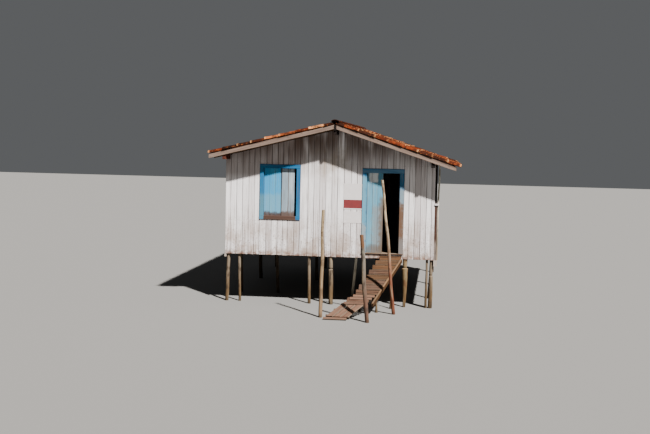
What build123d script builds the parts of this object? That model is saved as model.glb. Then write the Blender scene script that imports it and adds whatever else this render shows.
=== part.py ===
"""A one-room wooden house on stilts, with a clay-tiled gable roof and a plank ramp down to the water.

Millimetres, +Z up. X runs along the gable front, to the right as seen by a visitor, and Y runs into the
house. Every piece is drawn from the foot of the front wall's middle, with every leg standing on Z = 0. The
finished pieces are then moved together, so that the origin lies under the middle of the whole part.
"""

import math
import os

from build123d import *

# Overall sizes of the house
house_width = 4800
house_depth = 5200
stilt_height = 1100
wall_board = 22
eave_height_left = 3359
eave_height_right = 3278
ridge_height = 4003
ridge_x = 157

# Floor
bearer_width = 90
bearer_height = 80
joist_width = 60
joist_height = 60
joist_count = 9
floor_thickness = 20
edge_beam_width = {-1: 40, 1: 80}
edge_beam_height = {-1: 70, 1: 135}
edge_beam_inset = {-1: 31, 1: 4}

# Wall frame
post_size = 80
door_post_size = 60
rail_depth = 60
rail_height = 60
plate_width = 80
plate_height = 90
beam_width = 60
tie_height = 70
ridge_beam_height = 110
frame_gap = 1

# Roof; heights are measured upright
gable_overhang = 400
barge_reach_left = 283
barge_reach_right = 446
tile_reach_left = 342
tile_reach_right = 590
tile_verge = 30
rafter_width = 60
rafter_height = 75
rafter_pairs = 7
batten_width = 45
batten_height = 25
batten_count = 8
barge_thickness = 25
tile_layer = 80
channel_tile_height = 22
cover_tile_width = 156
cover_tile_pitch = 198
cover_tile_inset = 82
ridge_tile_half_width = 95
ridge_tile_crown = 32

# Front door
door_centre_x = 1224
door_opening = 747
door_height = 1818
door_jamb_width = 100
door_head_height = 100
frame_proud = 18
frame_depth = 91
sill_height = 22
sill_nose = 25
leaf_thickness = 28
leaf_setback = 45
leaf_gap = 5
leaf_meeting_gap = 9
leaf_floor_gap = 6

# Door hinges
low_hinge_level = 1560
high_hinge_level = 2760
hinge_pin_radius = 4
hinge_barrel_radius = 7
hinge_running_gap = 0.05
hinge_barrel_height = 18
hinge_knuckle_height = 20
hinge_knuckle_gap = 1
hinge_pin_offset = 8.5
hinge_plate = 3
hinge_plate_length = 44

# Windows, all of one size
window_width = 936
window_height = 1265
window_bottom = 1915
window_frame_width = 88
front_window_x = -1140
side_window_share = 0.3
shutter_thickness = 24
shutter_setback = 42
ajar_setback = 38
shutter_gap = 4
shutter_meeting_gap = 18
ajar_gap = 55

# Ramp: middle of its deck at the wall, at the bend and at the foot
ramp_top = (1441, -22, 1177)
ramp_bend = (948, -800, 420)
ramp_foot = (350, -1563, 16)
ramp_width = 488
stringer_thickness = 42
stringer_height = 120
stringer_inset = 38
edge_board_thickness = 42
edge_board_slip = 220
edge_board_short = 70
tread_thickness = 28
tread_count = 8
tread_gap = 12
tread_sway = 9
long_plank_count = 3
long_plank_gap = 12
long_plank_slip = 24
batten_under_count = 4
batten_under_width = 70
batten_under_height = 40
batten_under_reach = 70
batten_under_inset = 20
prop_radius = 36
leg_radius = 34

# Corner post outside the right wall, and the pole beside it under the eave
corner_post_width = 46
corner_post_depth = 60
eave_pole_radius = 20
eave_pole_lean = 18
eave_pole_y = 30

# Derived levels
wall_bottom = stilt_height
bearer_top = stilt_height + bearer_height
floor_top = bearer_top + floor_thickness
half_width = house_width / 2
inner_half = half_width - wall_board
inner_rear_y = house_depth - wall_board
middle_y = house_depth / 2
rafter_rise = rafter_height
batten_rise = rafter_rise + batten_height
tile_rise = batten_rise + tile_layer
channel_rise = batten_rise + channel_tile_height
plate_inner_x = inner_half - plate_width

# Slopes of the two sides of the roof: -1 is the left side, 1 is the right side
run = {-1: half_width + ridge_x, 1: half_width - ridge_x}
slope = {
    -1: (ridge_height - eave_height_left) / run[-1],
    1: (ridge_height - eave_height_right) / run[1],
}
barge_run = {-1: run[-1] + barge_reach_left, 1: run[1] + barge_reach_right}
tile_run = {-1: run[-1] + tile_reach_left, 1: run[1] + tile_reach_right}
plate_bottom = {
    -1: ridge_height - (run[-1] - wall_board) * slope[-1] - plate_height,
    1: ridge_height - (run[1] - wall_board) * slope[1] - plate_height,
}
ridge_beam_bottom = ridge_height - beam_width / 2 * max(slope.values()) - ridge_beam_height

# Door and window outlines
door_left = door_centre_x - door_opening / 2
door_right = door_centre_x + door_opening / 2
jamb_left = door_left - door_jamb_width
jamb_right = door_right + door_jamb_width
sill_top = floor_top + sill_height
door_top = sill_top + door_height
head_top = door_top + door_head_height
window_top = window_bottom + window_height
frame_back = frame_depth - frame_proud
tie_bottom = window_top
tie_top = tie_bottom + tie_height
hinge_levels = (low_hinge_level, high_hinge_level)

# Legs: place as a share of half the width, foot offset, foot radius, top offset, top radius.
# Each row stands at a share of the depth, from the front
first_row_y = wall_board + bearer_width / 2
front_row = (0.0, [
    (-1, 40, 42, 74, 40),
    (-1, 348, 30, 320, 32),
    (-0.18, 2, 37, -17, 34),
    (0.03, -1, 50, -22, 56),
    (0.73, -2, 36, 5, 60),
    (1, -156, 30, -150, 28),
    (1, -60, 50, -50, 46),
])
rows_behind = [
    (0.22, [
        (-1, 90, 44, 71, 40),
        (-0.6, 40, 36, 0, 38),
        (0.2, -47, 34, 50, 32),
        (1, -100, 46, -46, 42),
    ]),
    (0.6, [
        (-1, 110, 50, 77, 46),
        (-0.32, 8, 42, -22, 40),
        (0.36, 16, 46, -14, 42),
        (1, -110, 44, -46, 42),
    ]),
    (1.0, [
        (-1, 90, 52, 79, 48),
        (-0.34, -24, 44, 16, 42),
        (0.34, -26, 44, 4, 42),
        (1, -80, 54, -52, 48),
    ]),
]

# Poles of the landing: foot X, foot Y, foot radius, top X, top Y, top height, top radius
landing_poles = [
    (50, -1297, 42, 73, -1297, 2280, 33),
    (1076, -1605, 46, 923, -1605, 1814, 38),
    (1566, -732, 40, 1284, -1110, 2933, 26),
]

# The origin is moved under the middle of the whole part
left_reach = half_width + tile_reach_left
right_reach = half_width + tile_reach_right
front_reach = max(foot_radius - foot_y for _, foot_y, foot_radius, *_ in landing_poles)
rear_reach = house_depth + gable_overhang + tile_verge
to_part_frame = Location(((left_reach - right_reach) / 2, (front_reach - rear_reach) / 2, 0))


def roof_line(x):
    """Height of the rafters' underside at an X of the house."""
    side = 1 if x > ridge_x else -1
    return ridge_height - abs(x - ridge_x) * slope[side]


def block(x_range, y_range, z_range):
    """Adds a box between the lowest and highest value along each axis."""
    spans = [r[1] - r[0] for r in (x_range, y_range, z_range)]
    middle = tuple((r[0] + r[1]) / 2 for r in (x_range, y_range, z_range))
    with Locations(middle):
        Box(*spans)


def cut_block(x_range, y_range, z_range):
    """Removes a box between the lowest and highest value along each axis."""
    spans = [r[1] - r[0] for r in (x_range, y_range, z_range)]
    middle = tuple((r[0] + r[1]) / 2 for r in (x_range, y_range, z_range))
    with Locations(middle):
        Box(*spans, mode=Mode.SUBTRACT)


def gable_prism(points, y_range, mode=Mode.ADD):
    """Adds or removes the outline of X and Z points, drawn out along Y."""
    with BuildSketch(Plane.XZ.offset(-y_range[1])) as outline:
        with BuildLine():
            Polyline(*points, close=True)
        make_face()
    extrude(outline.sketch, amount=y_range[1] - y_range[0], mode=mode)


def roof_strip(side, x_range, rises, y_range):
    """Adds a piece lying along one slope, from one run off the ridge to another."""
    near, far = (ridge_x + side * distance for distance in x_range)
    low, high = rises
    near_level = ridge_height - x_range[0] * slope[side]
    far_level = ridge_height - x_range[1] * slope[side]
    gable_prism(
        [
            (near, near_level + low),
            (far, far_level + low),
            (far, far_level + high),
            (near, near_level + high),
        ],
        y_range,
    )


def log(foot, foot_radius, top, top_radius):
    """Adds a tapered, slightly leaning log with level ends."""
    with BuildSketch(Plane.XY.offset(foot[2])) as foot_end:
        with Locations((foot[0], foot[1])):
            Circle(foot_radius)
    with BuildSketch(Plane.XY.offset(top[2])) as top_end:
        with Locations((top[0], top[1])):
            Circle(top_radius)
    loft([foot_end.sketch, top_end.sketch])


def save(shape, label):
    """Moves a finished shape into the part's frame, names it and writes it as its own file."""
    shape = shape.moved(to_part_frame)
    shape.label = label
    export_step(shape, f"parts/{label}.step")


def finish(piece, label):
    save(piece.part, label)


def finish_together(pieces, label):
    """Writes pieces that only rest on each other into one file, each as a solid of its own."""
    save(Compound([solid for piece in pieces for solid in piece.part.solids()]), label)


def row_y(share):
    """Y of a row of legs, as a share of the depth between the first and the last row."""
    return first_row_y + share * (house_depth - 2 * first_row_y)


def make_stilts():
    for label, rows in (("stilts_front", [front_row]), ("stilts_behind", rows_behind)):
        with BuildPart() as stilts:
            for share, legs in rows:
                y = row_y(share)
                for place, foot_offset, foot_radius, top_offset, top_radius in legs:
                    foot = (place * half_width + foot_offset, y, 0)
                    top = (place * half_width + top_offset, y, stilt_height)
                    log(foot, foot_radius, top, top_radius)
        finish(stilts, label)


def make_floor():
    with BuildPart() as bearers:
        for share, _ in [front_row, *rows_behind]:
            y = row_y(share)
            block(
                (-inner_half, inner_half),
                (y - bearer_width / 2, y + bearer_width / 2),
                (stilt_height, bearer_top),
            )
    finish(bearers, "floor_bearers")

    rows = [row_y(share) for share, _ in [front_row, *rows_behind]]
    with BuildPart() as joists:
        reach = inner_half - joist_width / 2
        for i in range(joist_count):
            x = -reach + 2 * reach * i / (joist_count - 1)
            for near, far in zip(rows, rows[1:]):
                block(
                    (x - joist_width / 2, x + joist_width / 2),
                    (near + bearer_width / 2, far - bearer_width / 2),
                    (bearer_top - joist_height, bearer_top),
                )
        for side in (-1, 1):
            inner = side * (half_width - edge_beam_inset[side])
            block(
                sorted((inner, inner + side * edge_beam_width[side])),
                (0, house_depth),
                (stilt_height - edge_beam_height[side], stilt_height),
            )
    finish(joists, "floor_joists_and_edge_beams")

    with BuildPart() as boards:
        block((-inner_half, inner_half), (wall_board, inner_rear_y), (bearer_top, floor_top))
    finish(boards, "floor_boards")


def tie_positions():
    """Y ranges of the tie beams: behind each gable and at mid-depth."""
    return [
        (wall_board, wall_board + beam_width),
        (middle_y - beam_width / 2, middle_y + beam_width / 2),
        (inner_rear_y - beam_width, inner_rear_y),
    ]


def make_wall_frame():
    corner_front = (wall_board, wall_board + post_size)
    corner_rear = (inner_rear_y - post_size, inner_rear_y)
    mid_post = (middle_y - post_size / 2, middle_y + post_size / 2)
    door_posts = [(jamb_left - door_post_size, jamb_left), (jamb_right, jamb_right + door_post_size)]
    with BuildPart() as posts:
        for side in (-1, 1):
            x_range = sorted((side * inner_half, side * (inner_half - post_size)))
            for y_range in (corner_front, mid_post, corner_rear):
                block(x_range, y_range, (floor_top, plate_bottom[side]))
        for x_range in door_posts:
            block(x_range, (wall_board, wall_board + door_post_size), (floor_top, tie_bottom))
        for y_range in tie_positions():
            block(
                (ridge_x - beam_width / 2, ridge_x + beam_width / 2), y_range, (tie_top, ridge_beam_bottom)
            )
        outside = half_width + corner_post_width
        gable_prism(gable_outline((half_width, outside), wall_bottom), (0, corner_post_depth))
    finish(posts, "wall_posts")

    between_corners = (-inner_half + post_size, inner_half - post_size)
    front_bays = [(between_corners[0], door_posts[0][0]), (door_posts[1][1], between_corners[1])]
    levels = (window_bottom - rail_height, window_bottom)
    with BuildPart() as rails:
        for bay in front_bays:
            block(bay, (wall_board, wall_board + rail_depth), levels)
        block(between_corners, (inner_rear_y - rail_depth, inner_rear_y), levels)
        for side in (-1, 1):
            x_range = sorted((side * inner_half, side * (inner_half - rail_depth)))
            block(x_range, (corner_front[1], mid_post[0]), levels)
            block(x_range, (mid_post[1], corner_rear[0]), levels)
    finish(rails, "wall_rails")

    with BuildPart() as ties:
        for y_range in tie_positions():
            block(between_corners, y_range, (tie_bottom, tie_top))
    finish(ties, "tie_beams")


def make_roof_frame():
    ends = (barge_thickness - gable_overhang, house_depth + gable_overhang - barge_thickness)
    with BuildPart() as plates:
        for side in (-1, 1):
            gable_prism(
                [
                    (side * plate_inner_x, plate_bottom[side]),
                    (side * inner_half, plate_bottom[side]),
                    (side * inner_half, roof_line(side * inner_half)),
                    (side * plate_inner_x, roof_line(side * plate_inner_x)),
                ],
                ends,
            )
    finish(plates, "top_plates")

    with BuildPart() as ridge_beam:
        edges = (ridge_x - beam_width / 2, ridge_x + beam_width / 2)
        gable_prism(
            [
                (edges[0], ridge_beam_bottom),
                (edges[1], ridge_beam_bottom),
                (edges[1], roof_line(edges[1])),
                (ridge_x, ridge_height),
                (edges[0], roof_line(edges[0])),
            ],
            ends,
        )
    finish(ridge_beam, "ridge_beam")

    for side, label in ((-1, "rafters_left"), (1, "rafters_right")):
        with BuildPart() as rafters:
            for i in range(rafter_pairs):
                y = (house_depth - rafter_width) * i / (rafter_pairs - 1)
                roof_strip(side, (0, barge_run[side]), (0, rafter_rise), (y, y + rafter_width))
        finish(rafters, label)

    with BuildPart() as battens:
        edge = batten_width / 2
        for side in (-1, 1):
            first = batten_width
            last = barge_run[side] - batten_width
            for i in range(batten_count):
                x = first + (last - first) * i / (batten_count - 1)
                roof_strip(side, (x - edge, x + edge), (rafter_rise, batten_rise), ends)
    finish(battens, "roof_battens")


def make_barge_boards():
    near = (-gable_overhang, barge_thickness - gable_overhang)
    far = (house_depth + gable_overhang - barge_thickness, house_depth + gable_overhang)
    for side, label in ((-1, "barge_boards_left"), (1, "barge_boards_right")):
        with BuildPart() as barges:
            for y_range in (near, far):
                roof_strip(side, (0, barge_run[side]), (0, batten_rise), y_range)
        finish(barges, label)


def cover_rows(y_range):
    """Middles of the rows of cover tiles, from verge to verge."""
    first = y_range[0] + cover_tile_inset
    last = y_range[1] - cover_tile_inset
    count = round((last - first) / cover_tile_pitch)
    return [first + (last - first) * i / count for i in range(count + 1)]


def make_slope_tiles(side, label, y_range):
    """A bed of channel tiles, and on it a rib for each row of cover tiles."""
    with BuildPart() as channels:
        roof_strip(side, (0, tile_run[side]), (batten_rise, channel_rise), y_range)
    down = Vector(side, 0, -slope[side])
    half = cover_tile_width / 2
    foot = ridge_height + channel_rise
    crown = ridge_height + tile_rise
    with BuildPart() as covers:
        for y in cover_rows(y_range):
            with BuildSketch(Plane.YZ.offset(ridge_x)) as row:
                with BuildLine():
                    ThreePointArc((y - half, foot), (y, crown), (y + half, foot))
                    Line((y + half, foot), (y - half, foot))
                make_face()
            extrude(row.sketch, amount=tile_run[side] * down.length, dir=down.normalized())
    finish_together([channels, covers], label)


def make_ridge_tiles(y_range):
    """Ridge tiles bedded on both slopes: one solid half for each side of the ridge."""
    bed = ridge_height + tile_rise
    crown = bed + ridge_tile_crown
    halves = []
    for side in (-1, 1):
        foot = (ridge_x + side * ridge_tile_half_width, bed - ridge_tile_half_width * slope[side])
        with BuildPart() as half:
            with BuildSketch(Plane.XZ.offset(-y_range[1])) as outline:
                with BuildLine():
                    TangentArc((ridge_x, crown), foot, tangent=(side, 0))
                    Line(foot, (ridge_x, bed))
                    Line((ridge_x, bed), (ridge_x, crown))
                make_face()
            extrude(outline.sketch, amount=y_range[1] - y_range[0])
        halves.append(half)
    finish_together(halves, "ridge_tiles")


def make_tiles():
    y_range = (-gable_overhang - tile_verge, house_depth + gable_overhang + tile_verge)
    make_slope_tiles(-1, "roof_tiles_left", y_range)
    make_slope_tiles(1, "roof_tiles_right", y_range)
    make_ridge_tiles(y_range)


def gable_outline(x_range, bottom):
    """Outline of gable boards between two X values, up to the rafters' underside."""
    left, right = x_range
    points = [(left, bottom), (right, bottom), (right, roof_line(right))]
    if left < ridge_x < right:
        points.append((ridge_x, ridge_height))
    points.append((left, roof_line(left)))
    return points


def cut_beam_ends(y_range):
    """Notches gable boards round the ends of the plates and the ridge beam."""
    top = ridge_height + frame_gap
    for side in (-1, 1):
        x_range = sorted((side * (plate_inner_x - frame_gap), side * (inner_half + frame_gap)))
        cut_block(x_range, y_range, (plate_bottom[side] - frame_gap, top))
    reach = beam_width / 2 + frame_gap
    cut_block((ridge_x - reach, ridge_x + reach), y_range, (ridge_beam_bottom - frame_gap, top))


def make_walls():
    front = (0, wall_board)
    rear = (inner_rear_y, house_depth)
    with BuildPart() as wall:
        gable_prism(gable_outline((-half_width, jamb_left), wall_bottom), front)
        cut_beam_ends(front)
        cut_window_x(front_window_x, front)
    finish(wall, "front_wall_left")

    with BuildPart() as wall:
        gable_prism(gable_outline((jamb_left, jamb_right), head_top), front)
    finish(wall, "front_wall_over_door")

    with BuildPart() as wall:
        gable_prism(gable_outline((jamb_right, half_width), wall_bottom), front)
        cut_beam_ends(front)
    finish(wall, "front_wall_right")

    with BuildPart() as wall:
        block((jamb_left, jamb_right), front, (wall_bottom, floor_top))
    finish(wall, "front_wall_below_door")

    with BuildPart() as wall:
        gable_prism(gable_outline((-half_width, half_width), wall_bottom), rear)
        cut_beam_ends(rear)
        cut_window_x(0, rear)
    finish(wall, "rear_wall")

    eaves = {-1: eave_height_left, 1: eave_height_right}
    y = side_window_y()
    for side, label in ((-1, "left_wall"), (1, "right_wall")):
        x_range = sorted((side * half_width, side * inner_half))
        with BuildPart() as wall:
            block(x_range, (wall_board, inner_rear_y), (wall_bottom, eaves[side]))
            cut_block(x_range, (y - window_width / 2, y + window_width / 2), (window_bottom, window_top))
        finish(wall, label)


def side_window_y():
    """Y of the middle of the side windows."""
    return side_window_share * house_depth


def cut_window_x(x, y_range):
    """Cuts a window hole in a gable wall."""
    cut_block((x - window_width / 2, x + window_width / 2), y_range, (window_bottom, window_top))


def window_places():
    """The plane of each window: on its wall's outer face, X to the right and Y up, Z out of the house."""
    middle = (window_bottom + window_top) / 2
    return {
        "front": Plane((front_window_x, 0, middle), x_dir=(1, 0, 0), z_dir=(0, -1, 0)),
        "left": Plane((-half_width, side_window_y(), middle), x_dir=(0, -1, 0), z_dir=(-1, 0, 0)),
        "right": Plane((half_width, side_window_y(), middle), x_dir=(0, 1, 0), z_dir=(1, 0, 0)),
        "rear": Plane((0, house_depth, middle), x_dir=(-1, 0, 0), z_dir=(0, 1, 0)),
    }


def window_frame(plane):
    """Adds one window frame, a ring that stands proud of the boards."""
    with BuildSketch(plane.offset(frame_proud)) as ring:
        Rectangle(window_width, window_height)
        Rectangle(
            window_width - 2 * window_frame_width,
            window_height - 2 * window_frame_width,
            mode=Mode.SUBTRACT,
        )
    extrude(ring.sketch, amount=-frame_depth)


def shutter(plane, x_range, setback):
    """Adds one shutter leaf inside a window frame, standing on its bottom member."""
    reach = window_height / 2 - window_frame_width
    low = -reach
    high = reach - shutter_gap
    with BuildSketch(plane.offset(-setback)) as leaf:
        with Locations(((x_range[0] + x_range[1]) / 2, (low + high) / 2)):
            Rectangle(x_range[1] - x_range[0], high - low)
    extrude(leaf.sketch, amount=-shutter_thickness)


def make_windows():
    places = window_places()
    reach = window_width / 2 - window_frame_width
    with BuildPart() as frame:
        window_frame(places["front"])
    finish(frame, "front_window_frame")

    # The right leaf of the front window stands a little ajar and leaves a dark slot beside the frame
    right_width = (2 * reach - shutter_meeting_gap - ajar_gap) * 0.43
    right_end = reach - ajar_gap
    right_start = right_end - right_width
    with BuildPart() as leaf:
        shutter(places["front"], (-reach + shutter_gap, right_start - shutter_meeting_gap), shutter_setback)
    finish(leaf, "front_shutter_left")

    with BuildPart() as leaf:
        shutter(places["front"], (right_start, right_end), ajar_setback)
    finish(leaf, "front_shutter_right")

    with BuildPart() as frames:
        for name in ("left", "right", "rear"):
            window_frame(places[name])
    finish(frames, "side_window_frames")

    with BuildPart() as leaves:
        for name in ("left", "right", "rear"):
            shutter(places[name], (-reach + shutter_gap, -shutter_gap / 2), shutter_setback)
            shutter(places[name], (shutter_gap / 2, reach - shutter_gap), shutter_setback)
    finish(leaves, "side_window_shutters")


def make_door_frame():
    y_range = (-frame_proud, frame_back)
    with BuildPart() as sill:
        block((jamb_left, jamb_right), (-sill_nose, frame_back), (floor_top, sill_top))
    finish(sill, "door_sill")

    jambs = {"door_jamb_left": (jamb_left, door_left), "door_jamb_right": (door_right, jamb_right)}
    for label, x_range in jambs.items():
        with BuildPart() as jamb:
            block(x_range, y_range, (sill_top, door_top))
        finish(jamb, label)

    with BuildPart() as head:
        block((jamb_left, jamb_right), y_range, (door_top, head_top))
    finish(head, "door_head")


leaf_back = leaf_setback + leaf_thickness
hinge_y = leaf_back + hinge_pin_offset
leaf_width = (door_opening - 2 * leaf_gap - leaf_meeting_gap) / 2


def hinge_x(side):
    """X of the hinge pins: -1 for the left leaf, 1 for the right leaf."""
    return door_centre_x + side * (door_opening / 2 - leaf_gap / 2)


def make_leaf(side):
    """One door leaf as it hangs when closed."""
    edge = hinge_x(side) - side * leaf_gap / 2
    x_range = sorted((edge, edge - side * leaf_width))
    with BuildPart() as leaf:
        block(x_range, (leaf_setback, leaf_back), (sill_top + leaf_floor_gap, door_top - leaf_gap))
    return leaf


def make_leaf_barrels(side):
    """The moving half of a leaf's hinges: a barrel round the pin and a plate on the leaf."""
    x = hinge_x(side)
    with BuildPart() as barrels:
        for level in hinge_levels:
            low = level - hinge_barrel_height / 2
            with BuildSketch(Plane.XY.offset(low)):
                with Locations((x, hinge_y)):
                    Circle(hinge_barrel_radius)
            extrude(amount=hinge_barrel_height)
            block(
                sorted((x, x - side * hinge_plate_length)),
                (leaf_back, leaf_back + hinge_plate),
                (low, low + hinge_barrel_height),
            )
            with BuildSketch(Plane.XY.offset(low)):
                with Locations((x, hinge_y)):
                    Circle(hinge_pin_radius + hinge_running_gap)
            extrude(amount=hinge_barrel_height, mode=Mode.SUBTRACT)
    return barrels


def make_door():
    quarter_turn = Axis((hinge_x(1), hinge_y, 0), (0, 0, 1))
    for side, name in ((-1, "left"), (1, "right")):
        leaf = make_leaf(side)
        barrels = make_leaf_barrels(side)
        if side > 0:
            # The right leaf is stored as the visitor finds it, swung a quarter turn into the room
            leaf.part = leaf.part.rotate(quarter_turn, -90)
            barrels.part = barrels.part.rotate(quarter_turn, -90)
        finish(leaf, f"door_leaf_{name}")
        finish(barrels, f"hinge_barrels_{name}")

    with BuildPart() as pins:
        for side in (-1, 1):
            x = hinge_x(side)
            for level in hinge_levels:
                middle = hinge_barrel_height / 2 + hinge_knuckle_gap
                end = middle + hinge_knuckle_height
                with BuildSketch(Plane.XY.offset(level - end)):
                    with Locations((x, hinge_y)):
                        Circle(hinge_pin_radius)
                extrude(amount=2 * end)
                for start in (level - end, level + middle):
                    with BuildSketch(Plane.XY.offset(start)):
                        with Locations((x, hinge_y)):
                            Circle(hinge_barrel_radius)
                    extrude(amount=hinge_knuckle_height)
                    block(
                        sorted((x, x + side * hinge_plate_length)),
                        (frame_back, frame_back + hinge_plate),
                        (start, start + hinge_knuckle_height),
                    )
    finish(pins, "door_hinge_pins")


def ramp_plane(low, high):
    """A plane on the deck of one ramp section: X across it, Y straight up it, Z out of it."""
    rise_y = high[1] - low[1]
    rise_z = high[2] - low[2]
    return Plane(low, x_dir=(1, 0, 0), z_dir=(0, -rise_z, rise_y))


def ramp_length(low, high):
    """Length of one ramp section, measured straight up its plane."""
    return math.hypot(high[1] - low[1], high[2] - low[2])


def ramp_strip(low, high, x_range, y_range, z_range, mode=Mode.ADD):
    """Adds or removes a strip that runs up a ramp section and follows its skew."""
    skew = (high[0] - low[0]) / ramp_length(low, high)
    with BuildSketch(ramp_plane(low, high).offset(z_range[0])) as outline:
        with BuildLine():
            Polyline(
                (x_range[0] + skew * y_range[0], y_range[0]),
                (x_range[1] + skew * y_range[0], y_range[0]),
                (x_range[1] + skew * y_range[1], y_range[1]),
                (x_range[0] + skew * y_range[1], y_range[1]),
                close=True,
            )
        make_face()
    extrude(outline.sketch, amount=z_range[1] - z_range[0], mode=mode)


def ramp_bar(low, high, x_range, y_range, z_range):
    """Adds a bar that lies square across a ramp section."""
    skew = (high[0] - low[0]) / ramp_length(low, high)
    shift = skew * (y_range[0] + y_range[1]) / 2
    with BuildSketch(ramp_plane(low, high).offset(z_range[0])) as outline:
        with Locations(((x_range[0] + x_range[1]) / 2 + shift, (y_range[0] + y_range[1]) / 2)):
            Rectangle(x_range[1] - x_range[0], y_range[1] - y_range[0])
    extrude(outline.sketch, amount=z_range[1] - z_range[0])


def trim_at_wall():
    """Cuts ramp pieces off upright at the face of the front wall."""
    far = 2 * house_depth
    cut_block((-far, far), (0, far), (-far, far))


def trim_at_ground():
    """Cuts ramp pieces off level with the ground."""
    far = 2 * house_depth
    cut_block((-far, far), (-far, far), (-far, 0))


def trim_at_bend():
    """Cuts the lower section off along the lower end of the upper section."""
    far = 2 * house_depth
    with BuildSketch(ramp_plane(ramp_bend, ramp_top).offset(-far)) as beyond:
        with Locations((0, far / 2)):
            Rectangle(far, far)
    extrude(beyond.sketch, amount=2 * far, mode=Mode.SUBTRACT)


def trim_at_edge_board(upper):
    """Cuts the treads off along the inner face of the edge board on the right."""
    ramp_strip(
        ramp_bend,
        ramp_top,
        (ramp_width / 2, ramp_width),
        (-upper, 2 * upper),
        (-tread_thickness, 0),
        mode=Mode.SUBTRACT,
    )


stringer_x = ramp_width / 2 - stringer_inset - stringer_thickness / 2
stringer_low = -tread_thickness - stringer_height


def make_ramp():
    upper = ramp_length(ramp_bend, ramp_top)
    lower = ramp_length(ramp_foot, ramp_bend)
    with BuildPart() as stringers:
        for side in (-1, 1):
            x = side * stringer_x
            ramp_strip(
                ramp_bend,
                ramp_top,
                (x - stringer_thickness / 2, x + stringer_thickness / 2),
                (0, upper + stringer_height),
                (stringer_low, -tread_thickness),
            )
        ramp_strip(
            ramp_bend,
            ramp_top,
            (ramp_width / 2, ramp_width / 2 + edge_board_thickness),
            (-edge_board_slip, upper - edge_board_short),
            (stringer_low, 0),
        )
        trim_at_wall()
    finish(stringers, "ramp_stringers")

    pitch = (upper - tread_gap) / tread_count
    with BuildPart() as treads:
        for i in range(tread_count):
            start = upper - (i + 1) * pitch
            sway = tread_sway * math.sin(2.3 * i)
            ramp_bar(
                ramp_bend,
                ramp_top,
                (-ramp_width / 2 + sway, ramp_width / 2 + edge_board_thickness),
                (start + tread_gap, start + pitch),
                (-tread_thickness, 0),
            )
        trim_at_wall()
        trim_at_edge_board(upper)
    finish(treads, "ramp_treads")

    pitch = ramp_width / long_plank_count
    with BuildPart() as planks:
        for i in range(long_plank_count):
            start = -ramp_width / 2 + i * pitch
            slip = long_plank_slip * math.sin(2.1 * i + 0.6)
            ramp_strip(
                ramp_foot,
                ramp_bend,
                (start, start + pitch - long_plank_gap),
                (slip, lower + tread_thickness),
                (-tread_thickness, 0),
            )
        trim_at_ground()
        trim_at_bend()
    finish(planks, "ramp_long_planks")

    with BuildPart() as battens:
        spacing = (lower - 4 * batten_under_width) / (batten_under_count - 1)
        for i in range(batten_under_count):
            start = 2 * batten_under_width + i * spacing
            ramp_bar(
                ramp_foot,
                ramp_bend,
                (-ramp_width / 2 - batten_under_reach, ramp_width / 2 - batten_under_inset),
                (start, start + batten_under_width),
                (-tread_thickness - batten_under_height, -tread_thickness),
            )
    finish(battens, "ramp_battens")


def stringer_seat(side, share):
    """Point on a stringer's underside, at a share of the upper section's length."""
    upper = ramp_length(ramp_bend, ramp_top)
    plane = ramp_plane(ramp_bend, ramp_top)
    skew = (ramp_top[0] - ramp_bend[0]) * share
    return plane.from_local_coords((side * stringer_x + skew, share * upper, stringer_low))


def make_ramp_legs():
    with BuildPart() as legs:
        seat = stringer_seat(1, 0.68)
        log((seat.X, seat.Y, 0), prop_radius, (seat.X, seat.Y, seat.Z + prop_radius), prop_radius)
        for side in (-1, 1):
            seat = stringer_seat(side, 0.1)
            log((seat.X, seat.Y, 0), leg_radius, (seat.X, seat.Y, seat.Z + leg_radius), leg_radius)
        with BuildSketch(ramp_plane(ramp_bend, ramp_top).offset(stringer_low)):
            Rectangle(3 * house_width, 3 * house_width)
        extrude(amount=stringer_height, mode=Mode.SUBTRACT)
    finish(legs, "ramp_legs")


def make_poles():
    with BuildPart() as poles:
        for foot_x, foot_y, foot_radius, top_x, top_y, height, top_radius in landing_poles:
            log((foot_x, foot_y, 0), foot_radius, (top_x, top_y, height), top_radius)
        foot_x = half_width + corner_post_width + eave_pole_radius
        top_x = foot_x + eave_pole_lean
        top_level = roof_line(top_x + eave_pole_radius)
        log(
            (foot_x, eave_pole_y, wall_bottom),
            eave_pole_radius,
            (top_x, eave_pole_y, top_level),
            eave_pole_radius,
        )
    finish(poles, "poles")


os.makedirs("parts", exist_ok=True)
make_stilts()
make_floor()
make_wall_frame()
make_roof_frame()
make_barge_boards()
make_tiles()
make_walls()
make_windows()
make_door_frame()
make_door()
make_ramp()
make_ramp_legs()
make_poles()
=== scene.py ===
"""Looks of the stilt house: weathered boards, clay tiles, worn blue paint, logs and a plank ramp.

Metres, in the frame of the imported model: X to the right along the gable front, Y into the house, Z up.
"""

import math
import random

import bmesh
import bpy
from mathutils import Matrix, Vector, noise


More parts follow.
